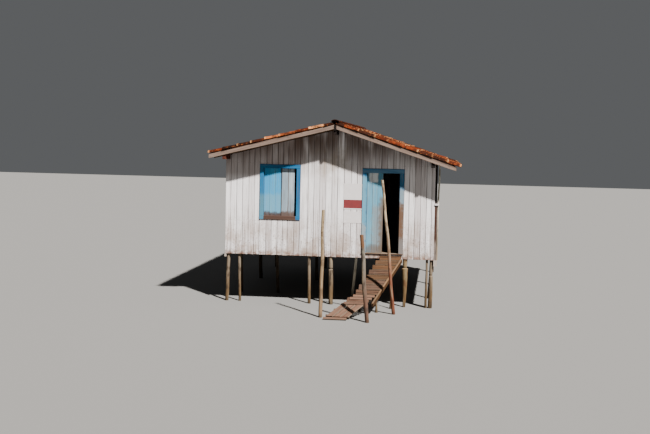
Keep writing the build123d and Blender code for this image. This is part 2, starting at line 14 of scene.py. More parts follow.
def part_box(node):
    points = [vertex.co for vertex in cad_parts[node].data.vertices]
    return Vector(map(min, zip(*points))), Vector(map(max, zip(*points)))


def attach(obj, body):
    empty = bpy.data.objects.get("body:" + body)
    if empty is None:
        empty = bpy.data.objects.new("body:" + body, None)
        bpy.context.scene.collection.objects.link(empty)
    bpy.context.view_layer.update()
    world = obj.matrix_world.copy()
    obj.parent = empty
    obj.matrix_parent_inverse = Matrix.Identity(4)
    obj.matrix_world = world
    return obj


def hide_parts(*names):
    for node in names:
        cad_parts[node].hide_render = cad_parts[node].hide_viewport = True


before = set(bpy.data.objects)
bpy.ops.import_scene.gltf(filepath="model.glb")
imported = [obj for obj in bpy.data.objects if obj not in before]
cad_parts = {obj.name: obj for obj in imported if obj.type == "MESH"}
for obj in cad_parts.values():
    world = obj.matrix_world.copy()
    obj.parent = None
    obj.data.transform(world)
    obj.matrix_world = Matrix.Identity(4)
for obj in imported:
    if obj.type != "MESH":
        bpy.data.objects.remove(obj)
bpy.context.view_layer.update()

scene = bpy.context.scene
RIGHT = Vector((1, 0, 0))
BACK = Vector((0, 1, 0))
UP = Vector((0, 0, 1))

# Outer faces of the walls, and the middle of the gable
left_wall_low, left_wall_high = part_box("left_wall")
right_wall_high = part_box("right_wall")[1]
house_left = left_wall_low.x
house_right = right_wall_high.x
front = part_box("front_wall_left")[0].y
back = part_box("rear_wall")[1].y
middle = (house_left + house_right) / 2
wall_foot = left_wall_low.z
board_thickness = left_wall_high.x - left_wall_low.x

# Roof line along the rafters' underside
ridge_low, ridge_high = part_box("ridge_beam")
ridge_x = (ridge_low.x + ridge_high.x) / 2
ridge_z = ridge_high.z
slope = {
    -1: (ridge_z - left_wall_high.z) / (ridge_x - house_left),
    1: (ridge_z - right_wall_high.z) / (house_right - ridge_x),
}
pitch = {side: math.atan(slope[side]) for side in slope}
batten_rise = 0.1
tile_layer = 0.08


def spot(x, y, z):
    """A point measured from the foot of the front wall's middle."""
    return Vector((middle + x, front + y, z))


def roof_line(x):
    """Height of the rafters' underside."""
    side = 1 if x > ridge_x else -1
    return ridge_z - abs(x - ridge_x) * slope[side]


def stand(name, data):
    """A new object with this data, standing in the scene."""
    made = bpy.data.objects.new(name, data)
    scene.collection.objects.link(made)
    return made


# Camera

camera_spot = spot(2.526, -17.0, 3.613)
camera_yaw = math.radians(-4.26)
camera_pitch = math.radians(-2.59)
camera_roll = math.radians(1.34)
camera_focal_pixels = 755.9
camera_middle_pixel = (385, 182)
image_size = (650, 434)


def make_camera():
    forward = Vector((
        math.sin(camera_yaw) * math.cos(camera_pitch),
        math.cos(camera_yaw) * math.cos(camera_pitch),
        math.sin(camera_pitch),
    ))
    level = Vector((math.cos(camera_yaw), -math.sin(camera_yaw), 0))
    above = level.cross(forward)
    cosine = math.cos(camera_roll)
    sine = math.sin(camera_roll)
    side = cosine * level + sine * above
    top = cosine * above - sine * level
    data = bpy.data.cameras.new("camera")
    data.sensor_width = 36
    data.lens = camera_focal_pixels * data.sensor_width / image_size[0]
    data.shift_x = (image_size[0] / 2 - camera_middle_pixel[0]) / image_size[0]
    data.shift_y = (camera_middle_pixel[1] - image_size[1] / 2) / image_size[0]
    data.clip_end = 300
    camera = stand("camera", data)
    matrix = camera.matrix_world
    for i, axis in enumerate((side, top, -forward, camera_spot)):
        for j in range(3):
            matrix[j][i] = axis[j]
    camera.matrix_world = matrix
    scene.camera = camera


make_camera()


# Light and floor

sun_travel = Vector((-0.393, 0.4, -0.726))
sun_strength = 19
sun_width = math.radians(1.8)
sun_colour = (1.0, 0.97, 0.93)
sky_colour = (0.86, 0.89, 0.92, 1)
sky_strength = 0.13
floor_half = 60
floor_colour = (0.115, 0.112, 0.107, 1)
floor_roughness = 0.9


def make_light():
    sun = bpy.data.lights.new("key_light", "SUN")
    sun.energy = sun_strength
    sun.angle = sun_width
    sun.color = sun_colour
    sun_object = stand("key_light", sun)
    sun_object.rotation_mode = "QUATERNION"
    sun_object.rotation_quaternion = sun_travel.to_track_quat("-Z", "Y")

    world = bpy.data.worlds.new("studio")
    world.use_nodes = True
    background = world.node_tree.nodes["Background"]
    background.inputs["Color"].default_value = sky_colour
    background.inputs["Strength"].default_value = sky_strength
    scene.world = world


def make_floor():
    corners = [(x * floor_half, y * floor_half, 0) for x, y in ((-1, -1), (1, -1), (1, 1), (-1, 1))]
    mesh = bpy.data.meshes.new("studio_floor")
    mesh.from_pydata(corners, [], [(0, 1, 2, 3)])
    floor = stand("studio_floor", mesh)
    material = bpy.data.materials.new("studio_floor")
    material.use_nodes = True
    shader = material.node_tree.nodes["Principled BSDF"]
    shader.inputs["Base Color"].default_value = floor_colour
    shader.inputs["Roughness"].default_value = floor_roughness
    mesh.materials.append(material)


make_light()
make_floor()


# Materials

sunlit_share = 0.62
lime_brightness = 1.25
noise_roughness = 0.55
bump_strength = 0.8


def colour(display):
    """A display colour, 0 to 255, as the shader wants it: a little darker, since the sun is bright.

    A colour that comes out of a node stays as it is.
    """
    if not isinstance(display, tuple):
        return display
    parts = []
    for value in display:
        share = value / 255
        linear = share / 12.92 if share <= 0.04045 else ((share + 0.055) / 1.055) ** 2.4
        parts.append(linear * sunlit_share)
    return (*parts, 1)


class Finish:
    """One node material, whose paint is built up coat by coat."""

    def __init__(self, name):
        self.material = bpy.data.materials.new(name)
        self.material.use_nodes = True
        self.tree = self.material.node_tree
        self.shader = self.tree.nodes["Principled BSDF"]
        self.place = self.add("TexCoord")["Object"]
        self.x, self.y, self.z = self.split(self.place)
        self.grain = self.attribute("grain")
        self.tone, self.wear, self.rim = self.split(self.attribute("tone"))
        self.paint = None

    def put(self, socket, value):
        """Links a socket, or sets its fixed value."""
        if isinstance(value, bpy.types.NodeSocket):
            self.tree.links.new(value, socket)
        else:
            socket.default_value = value

    def add(self, kind, inputs=None, **settings):
        """Adds a node with its settings, fills its inputs and gives back its outputs."""
        node = self.tree.nodes.new(f"ShaderNode{kind}")
        for name, value in settings.items():
            setattr(node, name, value)
        for key, value in (inputs or {}).items():
            self.put(node.inputs[key], value)
        return node.outputs

    def attribute(self, name):
        return self.add("Attribute", attribute_name=name)["Vector"]

    def split(self, vector):
        return tuple(self.add("SeparateXYZ", {0: vector}))

    def stretch(self, vector, factors):
        return self.add("VectorMath", {0: vector, 1: factors}, operation="MULTIPLY")[0]

    def noise(self, scale, detail, vector=None, distortion=0.0):
        """Noise over the whole piece, or over the vector."""
        inputs = {
            "Vector": self.place if vector is None else vector,
            "Scale": scale,
            "Detail": detail,
            "Roughness": noise_roughness,
            "Distortion": distortion,
        }
        return self.add("TexNoise", inputs)[0]

    def streaks(self, factors, detail, vector=None, distortion=0.0):
        """Noise drawn out along the grain of each board, or along an axis of the vector."""
        drawn = self.stretch(self.grain if vector is None else vector, factors)
        return self.noise(1.0, detail, drawn, distortion)

    def fit(self, value, low, high, to_low=0.0, to_high=1.0):
        """Maps a range smoothly onto another one, and stays inside it."""
        inputs = {0: value, 1: low, 2: high, 3: to_low, 4: to_high}
        return self.add("MapRange", inputs, interpolation_type="SMOOTHSTEP")[0]

    def join(self, operation, values):
        joined = values[0]
        for value in values[1:]:
            joined = self.add("Math", {0: joined, 1: value}, operation=operation)[0]
        return joined

    def times(self, *values):
        return self.join("MULTIPLY", values)

    def plus(self, *values):
        return self.join("ADD", values)

    def mix(self, share, first, second):
        return self.add("Mix", {0: share, 6: colour(first), 7: colour(second)}, data_type="RGBA")[2]

    def share(self, value):
        """A share from 0 to 1: fitted, where it is a tuple that says what to fit and how."""
        return self.fit(*value) if isinstance(value, tuple) else value

    def ground(self, share, first, second):
        """Begins the paint, as a mix of two colours."""
        self.paint = self.mix(self.share(share), first, second)

    def coat(self, paint, strength, *shares):
        """Lays another colour over the paint, as strongly as all the shares say."""
        laid = self.times(*(self.share(share) for share in shares), strength)
        self.paint = self.mix(laid, self.paint, paint)

    def patch(self, low, high, edge, waver):
        """A soft upright rectangle with a wavering border, from low to high: X from the middle, and Z."""
        shift = self.times(self.plus(self.noise(11, 4), -0.5), waver)
        x = self.plus(self.x, shift)
        z = self.plus(self.z, shift)
        left = middle + low[0]
        right = middle + high[0]
        return self.times(
            self.fit(x, left - edge, left + edge),
            self.fit(x, right + edge, right - edge),
            self.fit(z, low[1] - edge, low[1] + edge),
            self.fit(z, high[1] + edge, high[1] - edge),
        )

    def ramp(self, value, stops):
        output = self.add("ValToRGB", {0: value})[0]
        points = output.node.color_ramp.elements
        while len(points) < len(stops):
            points.new(0.5)
        for point, (position, paint) in zip(points, stops):
            point.position = position
            point.color = colour(paint)
        return output

    def done(self, roughness, height, depth, shine=0.12):
        """Joins paint, roughness and the bump of the given depth to the shader."""
        bump = self.add("Bump", {"Height": height, "Distance": depth, "Strength": bump_strength})[0]
        inputs = self.shader.inputs
        self.put(inputs["Base Color"], self.paint)
        self.put(inputs["Roughness"], self.share(roughness))
        self.put(inputs["Normal"], bump)
        self.put(inputs["Specular IOR Level"], shine)
        return self.material

    def done_as_sawn(self, streak):
        """Joins everything for sawn timber, which is matt and shallow along its streaks."""
        return self.done((streak, 0.3, 0.7, 0.75, 0.95), streak, 0.003)


def whitewash():
    """Lime on boards: worn along the grain, dirty at the foot, and brown under the ridge, partly stain and
    partly painted shade where the eave's shadow falls.
    """
    lime = Finish("whitewashed_boards")
    streak = lime.streaks((62, 30, 1.3), 4)
    thin = lime.streaks((170, 60, 3.2), 2)
    broad = lime.streaks((7, 7, 0.9), 2)
    uneven = lime.streaks((4, 4, 1.1), 2)
    stain_and_shade_streaks = lime.streaks((3.2, 4, 0.8), 2, lime.place)
    grit = lime.noise(34, 4)
    cloud = lime.noise(2.6, 4)
    low = lime.fit(lime.z, wall_foot + 1.3, wall_foot - 0.1)
    high = lime.fit(lime.z, 2.9, 3.8)
    foot = lime.fit(lime.z, wall_foot + 0.14, wall_foot)
    left = lime.fit(lime.x, middle + 0.2, middle - 1.4)
    worn = lime.plus(streak, lime.times(low, 0.13), lime.times(high, 0.14), lime.times(lime.wear, 0.07))
    stained = lime.patch((-0.35, 2.85), (0.4, 3.5), 0.25, 0.5)
    lime.ground(broad, (250, 247, 248), (222, 217, 218))
    lime.coat((196, 188, 188), 0.8, (lime.tone, 0.5, 1))
    lime.coat((150, 138, 132), 0.7, (worn, 0.54, 0.76))
    lime.coat((120, 106, 98), 0.4, (thin, 0.6, 0.76))
    lime.coat((158, 138, 124), 0.85, low, (cloud, 0.38, 0.6))
    lime.coat((124, 108, 98), 0.7, (grit, 0.55, 0.68), (lime.z, 2.5, 1.2))
    lime.coat((112, 78, 62), 0.85, foot, (lime.noise(13, 4), 0.38, 0.58))
    # Brown coat on the upper wall: partly stain, partly painted shade under the eave.
    lime.coat((84, 62, 48), 0.85, high, (stain_and_shade_streaks, 0.36, 0.54))
    # Darker brown on the left from the eave's shadow line up: painted shade with some brown stain.
    lime.coat((120, 100, 90), 0.5, left, (lime.z, 2.8, 3.0))
    lime.coat((150, 134, 112), 0.5, stained, (cloud, 0.36, 0.6))
    lime.coat((80, 68, 62), 0.9, (lime.rim, 0.85, 1), (uneven, 0.34, 0.62, 0.15, 1))
    lime.paint = lime.stretch(lime.paint, (lime_brightness,) * 3)
    height = lime.plus(streak, lime.times(thin, 0.6), lime.times(grit, 0.4))
    return lime.done((streak, 0.3, 0.7, 0.72, 0.92), height, 0.003)


def worn_paint(name, fresh, faded, wood, amount=0.5, marks=(), painted_shade_before=None):
    """Paint worn off along the grain and the edges, with marks: (low, high, border, colour, strength).

    In front of the Y given by the last argument it is painted near black, as painted shade of the dark
    doorway behind.
    """
    paint = Finish(name)
    streak = paint.streaks((55, 40, 1.6), 4)
    broad = paint.streaks((9, 9, 1.4), 3)
    fleck = paint.noise(46, 4)
    paint.ground((paint.plus(broad, paint.times(paint.tone, 0.25)), 0.38, 0.82), fresh, faded)
    for low, high, border, mark, strength in marks:
        inside = paint.patch(low, high, border, border * 2.5)
        paint.coat(mark, strength, inside, (paint.plus(streak, inside), 0.5, 1.15))
    paint.coat(wood, 0.3, (streak, 0.5, 0.7))
    edge = paint.fit(paint.rim, 0.72, 1)
    worn = paint.plus(streak, paint.times(edge, 0.13), paint.times(paint.wear, 0.08))
    bare = paint.fit(worn, 0.84 - amount * 0.3, 0.96 - amount * 0.3)
    paint.coat(paint.mix(streak, wood, (112, 92, 80)), 0.85, bare)
    paint.coat((96, 84, 74), 0.4, (fleck, 0.62, 0.75))
    # Near black in front of the given Y: painted shade.
    if painted_shade_before is not None:
        paint.coat((18, 14, 12), 1, (paint.y, painted_shade_before + 0.01, painted_shade_before))
    height = paint.plus(streak, paint.times(bare, -0.5), paint.times(fleck, 0.3))
    return paint.done((bare, 0, 1, 0.5, 0.85), height, 0.002)


def bare_wood(name, light, dark, grey, share=0.5, depth=0.004, stain=0.5, pale_edge_and_highlight=0.3):
    """Unpainted timber: streaks along the grain, grey weathering, stains, and pale edges that are partly
    worn wood and partly a painted highlight.
    """
    wood = Finish(name)
    streak = wood.streaks((48, 48, 1.5), 5)
    fine = wood.streaks((150, 150, 3.5), 2)
    broad = wood.streaks((6, 6, 1.6), 3)
    wood.ground((streak, 0.3, 0.7), light, dark)
    wood.coat(grey, share, (wood.plus(broad, wood.times(wood.tone, 0.4)), 0.45, 0.9))
    wood.coat((70, 54, 44), 0.5, (fine, 0.6, 0.72))
    wood.coat((84, 68, 56), stain, (wood.noise(9, 4), 0.56, 0.7))
    # Pale board edges: partly weathered wood, partly a painted highlight.
    wood.coat((200, 184, 160), pale_edge_and_highlight, (wood.rim, 0.9, 1))
    height = wood.plus(streak, wood.times(fine, 0.5))
    return wood.done((streak, 0.3, 0.7, 0.74, 0.95), height, depth)


def plain_timber(name, light, dark, grey=(98, 84, 72)):
    """Sawn timber for the solid frame, with its grain across the whole piece."""
    wood = Finish(name)
    streak = wood.streaks((22, 22, 22), 5, wood.place, 1.4)
    wood.ground((streak, 0.3, 0.7), light, dark)
    wood.coat(grey, 0.6, (wood.noise(1.7, 4), 0.45, 0.7))
    wood.coat((52, 40, 32), 0.4, (wood.noise(60, 2), 0.6, 0.72))
    return wood.done_as_sawn(streak)


def plate_timber():
    """The wall plates: reddish on the left, and painted nearly black on the right as painted shade."""
    wood = Finish("plate_timber")
    streak = wood.streaks((26, 3, 26), 5, wood.place)
    wood.ground((streak, 0.3, 0.7), (104, 54, 40), (62, 34, 26))
    # Right of the middle the plate is painted near black: painted shade.
    wood.coat((26, 21, 18), 1, (wood.x, middle, middle + 0.4))
    return wood.done_as_sawn(streak)


def floor_frame_timber():
    """Joists and edge beams: dark, with pale sawn ends at the front."""
    wood = Finish("floor_frame_timber")
    streak = wood.streaks((26, 3, 26), 5, wood.place)
    wood.ground((streak, 0.3, 0.7), (70, 52, 42), (44, 34, 28))
    wood.coat((172, 160, 150), 1, (wood.y, front + 0.05, front + 0.01))
    return wood.done_as_sawn(streak)


def corner_timber():
    """Wall posts: painted nearly black under the eave as painted shade, reddish in the middle and grey at
    the foot.
    """
    wood = Finish("post_timber")
    streak = wood.streaks((26, 26, 3), 5, wood.place)
    # Near black above about 2.3 m: painted shade under the eave.
    wood.ground((wood.z, 2.2, 2.5), (76, 50, 39), (26, 20, 17))
    wood.coat((128, 116, 108), 1, (wood.z, 1.6, 1.45))
    wood.coat((44, 32, 26), 0.6, (streak, 0.5, 0.66))
    return wood.done_as_sawn(streak)


def fired_clay():
    """Clay from nearly black to pale orange, by the tone of each tile, with soot, and pale worn ends that
    are partly a painted highlight.
    """
    clay = Finish("clay_tiles")
    coarse = clay.noise(5.5, 4)
    spots = clay.noise(26, 5)
    clay.paint = clay.ramp(clay.tone, [
        (0.0, (30, 17, 12)),
        (0.22, (48, 23, 14)),
        (0.45, (80, 30, 14)),
        (0.7, (112, 46, 20)),
        (0.88, (150, 78, 40)),
        (1.0, (200, 134, 86)),
    ])
    clay.coat((48, 26, 19), 0.8, (coarse, 0.44, 0.6))
    clay.coat((172, 98, 50), 0.5, (spots, 0.56, 0.68))
    clay.coat((32, 24, 18), 0.6, (clay.noise(15, 3), 0.54, 0.66))
    # Pale tile ends: partly worn clay, partly a painted highlight.
    clay.coat((206, 150, 100), 0.6, (clay.rim, 0.86, 1), (clay.wear, 0.4, 0.9))
    height = clay.plus(spots, clay.times(coarse, 0.5))
    return clay.done((spots, 0.3, 0.7, 0.7, 0.92), height, 0.004, shine=0.02)


def log_wood(name, foot, top, bark, cut=None):
    """A weathered round pole whose colour changes from its foot to its top, which may be newly cut."""
    wood = Finish(name)
    along = wood.streaks((26, 26, 2.2), 5)
    blotch = wood.streaks((11, 11, 5), 4)
    crack = wood.streaks((90, 90, 1.6), 3)
    upwards = wood.plus(wood.rim, wood.times(wood.plus(blotch, -0.5), 0.5))
    wood.ground((upwards, 0.15, 0.85), foot, top)
    wood.coat(bark, 0.75, (blotch, 0.5, 0.62))
    wood.coat((176, 158, 128), 0.5, (along, 0.56, 0.7))
    wood.coat((44, 34, 26), 0.7, (crack, 0.6, 0.7))
    if cut:
        wood.coat(cut, 1, (wood.rim, 0.83, 0.88))
    wood.coat((46, 38, 26), 0.55, (wood.z, 0.16, 0.0))
    height = wood.plus(along, wood.times(blotch, 0.7))
    return wood.done((along, 0.3, 0.7, 0.72, 0.95), height, 0.006)


def rusty_iron():
    iron = Finish("hinge_steel")
    rust = iron.noise(140, 5)
    iron.ground((rust, 0.4, 0.62), (52, 44, 40), (112, 62, 36))
    iron.put(iron.shader.inputs["Metallic"], 0.35)
    return iron.done((rust, 0.3, 0.7, 0.45, 0.9), rust, 0.0008, shine=0.4)


def paper():
    """A plain printed sheet: bare, with a red band where its wear is high."""
    sheet = Finish("paper")
    fade = sheet.noise(12, 3)
    sheet.ground(sheet.times(fade, 0.35), (240, 234, 234), (206, 190, 184))
    band = sheet.mix(fade, (138, 6, 16), (96, 8, 14))
    sheet.coat(band, 0.95, (sheet.wear, 0.49, 0.51))
    return sheet.done((fade, 0.3, 0.7, 0.5, 0.7), fade, 0.0006)


leaf_paint = ((92, 158, 186), (126, 172, 188), (140, 128, 120), 0.6)

finish = {
    "whitewash": whitewash(),
    "barge": bare_wood(
        "pale_timber", (158, 136, 122), (98, 77, 66), (126, 108, 98), depth=0.002, stain=0.45
    ),
    "blue": worn_paint("blue_paint", (66, 124, 166), (112, 158, 186), (132, 112, 98)),
    "window_blue": worn_paint("window_blue_paint", (16, 90, 140), (36, 112, 156), (120, 98, 84), 0.4, (
        ((-1.7, 1.9), (-1.4, 2.5), 0.08, (92, 142, 158), 0.7),
        ((-1.515, 1.8), (-0.765, 2.1), 0.01, (82, 62, 54), 1.0),
    )),
    "left_jamb_blue": worn_paint("left_jamb_paint", (30, 98, 144), (62, 128, 168), (164, 154, 144), 0.4, (
        # Pale blue up to the eave's shadow line, dark blue above: partly faded paint, partly painted shade
        # on the shaded top.
        ((0.7, 1.15), (0.86, 2.97), 0.06, (104, 164, 188), 0.95),
        ((0.7, 1.15), (0.86, 1.9), 0.08, (160, 160, 158), 0.7),
    )),
    "right_jamb_blue": worn_paint("right_jamb_paint", (34, 98, 142), (66, 128, 164), (160, 142, 128), 0.4, (
        # Pale blue up to the eave's shadow line, dark blue above: partly faded paint, partly painted shade
        # on the shaded top.
        ((1.58, 1.15), (1.74, 2.72), 0.08, (134, 152, 162), 0.97),
        ((1.4, 1.5), (1.78, 2.38), 0.14, (106, 78, 58), 0.97),
        ((1.4, 1.1), (1.78, 1.56), 0.08, (122, 112, 106), 0.9),
    )),
    "light_blue": worn_paint("light_blue_paint", (54, 154, 206), (88, 166, 198), (150, 142, 134), 0.4, (
        ((-1.6, 1.9), (-1.0, 2.5), 0.08, (132, 172, 182), 0.45),
        ((-1.6, 1.9), (-1.0, 2.085), 0.05, (80, 58, 48), 0.95),
    )),
    "leaf_blue": worn_paint("leaf_blue_paint", *leaf_paint, (
        # Near-white patch kept above the eave's shadow line: partly a paler patch of paint, partly painted
        # light lifting the shaded top of the leaf.
        ((0.9, 2.82), (1.1, 3.1), 0.03, (250, 255, 255), 1.0),
        ((0.98, 1.15), (1.3, 2.3), 0.08, (136, 142, 144), 0.8),
        ((1.14, 1.15), (1.3, 2.5), 0.08, (108, 88, 70), 0.85),
        ((0.8, 1.15), (1.3, 1.4), 0.08, (104, 88, 74), 0.75),
    )),
    "pale_blue": worn_paint("pale_blue_paint", (186, 202, 210), (140, 158, 170), (120, 106, 96), 0.8, (
        ((-1.2, 1.9), (-0.7, 2.1), 0.06, (84, 60, 48), 0.9),
    )),
    # The open right leaf's front part is painted near black: painted shade of the dark doorway.
    "right_leaf_blue": worn_paint("right_leaf_paint", *leaf_paint, painted_shade_before=front + 0.12),
    "tiles": fired_clay(),
    "logs": log_wood("grey_logs", (94, 74, 50), (118, 104, 88), (58, 45, 33)),
    # Near-white logs for a rear leg in shade: painted light for the sun it lacks.
    "pale_logs": log_wood("pale_logs", (250, 238, 212), (255, 248, 228), (212, 194, 164)),
    "yellow_logs": log_wood("yellow_logs", (98, 76, 48), (128, 108, 78), (90, 58, 34)),
    "dark_logs": log_wood("dark_logs", (74, 60, 44), (74, 64, 52), (46, 36, 28)),
    "pole_a": log_wood("beige_pole", (136, 110, 84), (152, 132, 102), (92, 72, 54)),
    "pole_b": log_wood("grey_pole", (96, 70, 57), (118, 112, 100), (62, 51, 44), (104, 74, 52)),
    "pole_c": log_wood("brown_pole", (116, 64, 44), (190, 172, 142), (88, 54, 38)),
    # Its top is painted much paler than its foot: painted light that lifts the part in the eave's shade.
    "eave_pole": log_wood("eave_pole", (150, 134, 116), (226, 222, 206), (120, 112, 98)),
    "planks": bare_wood("worn_planks", (94, 66, 48), (40, 27, 20), (80, 62, 52), share=0.6),
    "warm_planks": bare_wood("warm_planks", (94, 62, 36), (46, 30, 18), (72, 54, 38)),
    "edge_planks": bare_wood("edge_planks", (116, 78, 44), (62, 40, 22), (92, 68, 46), pale_edge_and_highlight=0.08),
    "pink_planks": bare_wood("pink_planks", (124, 90, 70), (58, 38, 29), (102, 79, 66)),
    "floor": bare_wood(
        "floor_boards", (120, 96, 74), (84, 66, 52), (104, 92, 80), depth=0.003, stain=0.3
    ),
    "timber": plain_timber("bare_timber", (128, 98, 72), (88, 66, 48)),
    "plates": plate_timber(),
    "floor_frame": floor_frame_timber(),
    "posts": corner_timber(),
    # Near-black timber for the floor bearers: painted shade for the dark line under the wall.
    "dark_timber": plain_timber("dark_timber", (46, 34, 27), (26, 20, 16)),
    # Near black: painted shade for the ridge beam and its end under the roof.
    "ridge_end": plain_timber("ridge_end", (30, 22, 19), (16, 12, 10), (36, 28, 25)),
    "iron": rusty_iron(),
    "paper": paper(),
}


# Building blocks

sharp_angle = math.radians(38)
log_sides = 20
log_roughness = 0.05


class Shape:
    """Collects the corners and faces of one piece, with the grain data that its finish reads."""

    def __init__(self):
        self.corners = []
        self.faces = []
        self.materials = []

    def add(self, corners, faces, material=0):
        """Takes in corners, each given by its place, grain and tone, and the faces between them."""
        start = len(self.corners)
        self.corners.extend(corners)
        self.faces.extend(tuple(start + i for i in face) for face in faces)
        self.materials.extend([material] * len(faces))

    def piece(self, name, finishes, nodes=(), body="house"):
        """Makes the object, lets it ride on its body and stand for its nodes."""
        points, grain, tone = zip(*self.corners)
        mesh = bpy.data.meshes.new(name)
        mesh.from_pydata(points, [], self.faces)
        for label, values in (("grain", grain), ("tone", tone)):
            layer = mesh.attributes.new(label, "FLOAT_VECTOR", "POINT")
            layer.data.foreach_set("vector", [part for value in values for part in value])
        for key in finishes:
            mesh.materials.append(finish[key])
        mesh.polygons.foreach_set("material_index", self.materials)
        shell = bmesh.new()
        shell.from_mesh(mesh)
        bmesh.ops.recalc_face_normals(shell, faces=shell.faces)
        shell.to_mesh(mesh)
        shell.free()
        mesh.polygons.foreach_set("use_smooth", [True] * len(mesh.polygons))
        mesh.set_sharp_from_angle(angle=sharp_angle)
        made = stand(name, mesh)
        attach(made, body)
        if nodes:
            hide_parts(*nodes)


def placed(origin, across, out, along):
    """A function that turns across, out and along distances into a point."""
    return lambda a, o, t: origin + across * a + out * o + along * t


def value_at(edge, across):
    """An end of a board: a fixed value, or one that changes across the board."""
    return edge(across) if callable(edge) else edge


def sleeve(loop, count, rings):
    """Faces round a stack of rings of points, where the loop gives the order within a ring."""
    faces = []
    for near in range(0, rings * count, count):
        far = near + count
        for i, j in zip(loop, loop[1:] + loop[:1]):
            faces.append((near + i, near + j, far + j, far + i))
    return faces


def closed_sleeve(count, rings):
    """The same, with both ends filled in."""
    loop = list(range(count))
    return [tuple(loop), tuple(rings * count + i for i in loop)] + sleeve(loop, count, rings)


def add_board(
    shape, put, left, right, low, high, thickness, rng,
    bevel=0.0025, wobble=0.0015, bow=0.0015, ragged=0.0, step=0.4, tone=None, material=0, lap=0.0,
):
    """A board with softened edges that is never quite straight; its outer face is at out = 0.

    Its edges are rebated by the lap, so that neighbours meet behind an open joint.
    """
    half = (right - left) / 2
    centre = (right + left) / 2
    if lap:
        deep = -thickness - rng.uniform(0, 0.001)
        joint = -thickness * 0.4
        near = [(-half - lap, deep), (-half - lap, joint), (-half, joint)]
    else:
        near = [(-half + bevel, -thickness), (-half, -thickness + bevel)]
    near += [(-half, -bevel), (-half + bevel, 0)]
    outline = near + [(0, 0)] + [(-across, out) for across, out in reversed(near)]
    seed = [rng.uniform(-40, 40) for _ in range(4)]
    board_tone = tone or (rng.random(), rng.random())
    cuts = [rng.uniform(0, ragged) for _ in range(4)]
    length = value_at(high, centre) - value_at(low, centre)
    rings = max(1, round(length / step))
    corners = []
    for ring in range(rings + 1):
        share = ring / rings
        inner = 4 * share * (1 - share)
        for across, out in outline:
            side = across / half
            start = value_at(low, centre + across) + cuts[0] * (1 + side) / 2 + cuts[1] * (1 - side) / 2
            end = value_at(high, centre + across) - cuts[2] * (1 + side) / 2 - cuts[3] * (1 - side) / 2
            along = start + share * (end - start)
            drift = wobble * noise.noise(Vector((seed[0] + side, along * 2.1, seed[1]))) * abs(side)
            lift = -bow * inner * (0.5 + 0.5 * noise.noise(Vector((seed[2], along, 0))))
            corners.append((
                put(centre + across - side * wobble / 2 + drift, out + lift, along),
                (across + seed[0], out + seed[1], along + seed[2]),
                (*board_tone, abs(side)),
            ))
    shape.add(corners, closed_sleeve(len(outline), rings), material)


def add_boxed(shape, low, high, along, out, rng, **looks):
    """A board that fills a box, with its grain along one axis and its face looking along another."""
    low = Vector(low)
    high = Vector(high)
    size = high - low
    across = along.cross(out)
    depth = abs(size.dot(out))
    width = abs(size.dot(across))
    length = abs(size.dot(along))
    origin = (low + high) / 2 + out * depth / 2 - along * length / 2
    put = placed(origin, across, out, along)
    add_board(shape, put, -width / 2, width / 2, 0, length, depth, rng, **looks)


def add_log(
    shape, foot, top, foot_radius, top_radius, rng,
    bend=0.007, step=0.07, profile=None, material=0,
):
    """A round log: tapered, a little crooked, with knots and an uneven surface."""
    axis = top - foot
    length = axis.length
    rings = max(4, round(length / step))
    seed = Vector([rng.uniform(-50, 50) for _ in range(3)])
    log_tone = (rng.random(), rng.random())
    turn = rng.uniform(0, math.tau)
    corners = []
    for ring in range(rings + 1):
        share = ring / rings
        height = share * length
        centre = foot + axis * share
        sway = math.sin(math.pi * share)
        for k, direction in enumerate((RIGHT, BACK)):
            drift = noise.noise(seed + Vector((height * 1.4, k * 9, 0)))
            centre = centre + direction * bend * sway * 2 * drift
        radius = foot_radius + (top_radius - foot_radius) * share
        if profile:
            radius = profile(share, radius)
        for i in range(log_sides):
            angle = math.tau * i / log_sides + turn
            cosine = math.cos(angle)
            sine = math.sin(angle)
            where = seed + Vector((cosine * 0.9, sine * 0.9, height * 3.2))
            swell = 1 + log_roughness * (1.6 * noise.noise(where) + 0.6 * noise.noise(where * 3.1))
            size = radius * min(swell - 0.02, 1)
            corners.append((
                centre + (RIGHT * cosine + BACK * sine) * size,
                (cosine * radius + seed.x, sine * radius + seed.y, height + seed.z),
                (*log_tone, share),
            ))
    shape.add(corners, closed_sleeve(log_sides, rings), material)


end_tolerance = 0.004


def cad_logs(node):
    """Foot, top and radii of each log in a node, read off its solids."""
    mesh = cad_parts[node].data
    group = {}

    def root(key):
        while group[key] != key:
            key = group[key]
        return key

    keys = [tuple(round(c, 5) for c in vertex.co) for vertex in mesh.vertices]
    for key in keys:
        group.setdefault(key, key)
    for polygon in mesh.polygons:
        first = root(keys[polygon.vertices[0]])
        for index in polygon.vertices[1:]:
            group[root(keys[index])] = first
    solids = {}
    for key in group:
        solids.setdefault(root(key), []).append(key)
    logs = []
    for corners in solids.values():
        centres = []
        radii = []
        for level in (min(z for _, _, z in corners), max(z for _, _, z in corners)):
            ring = [corner for corner in corners if abs(corner[2] - level) < end_tolerance]
            xs = [corner[0] for corner in ring]
            ys = [corner[1] for corner in ring]
            centres.append(Vector(((min(xs) + max(xs)) / 2, (min(ys) + max(ys)) / 2, level)))
            radii.append((max(ys) - min(ys)) / 2)
        logs.append((*centres, *radii))
    return sorted(logs, key=lambda log: (round(log[0].y, 2), log[0].x))


# Walls

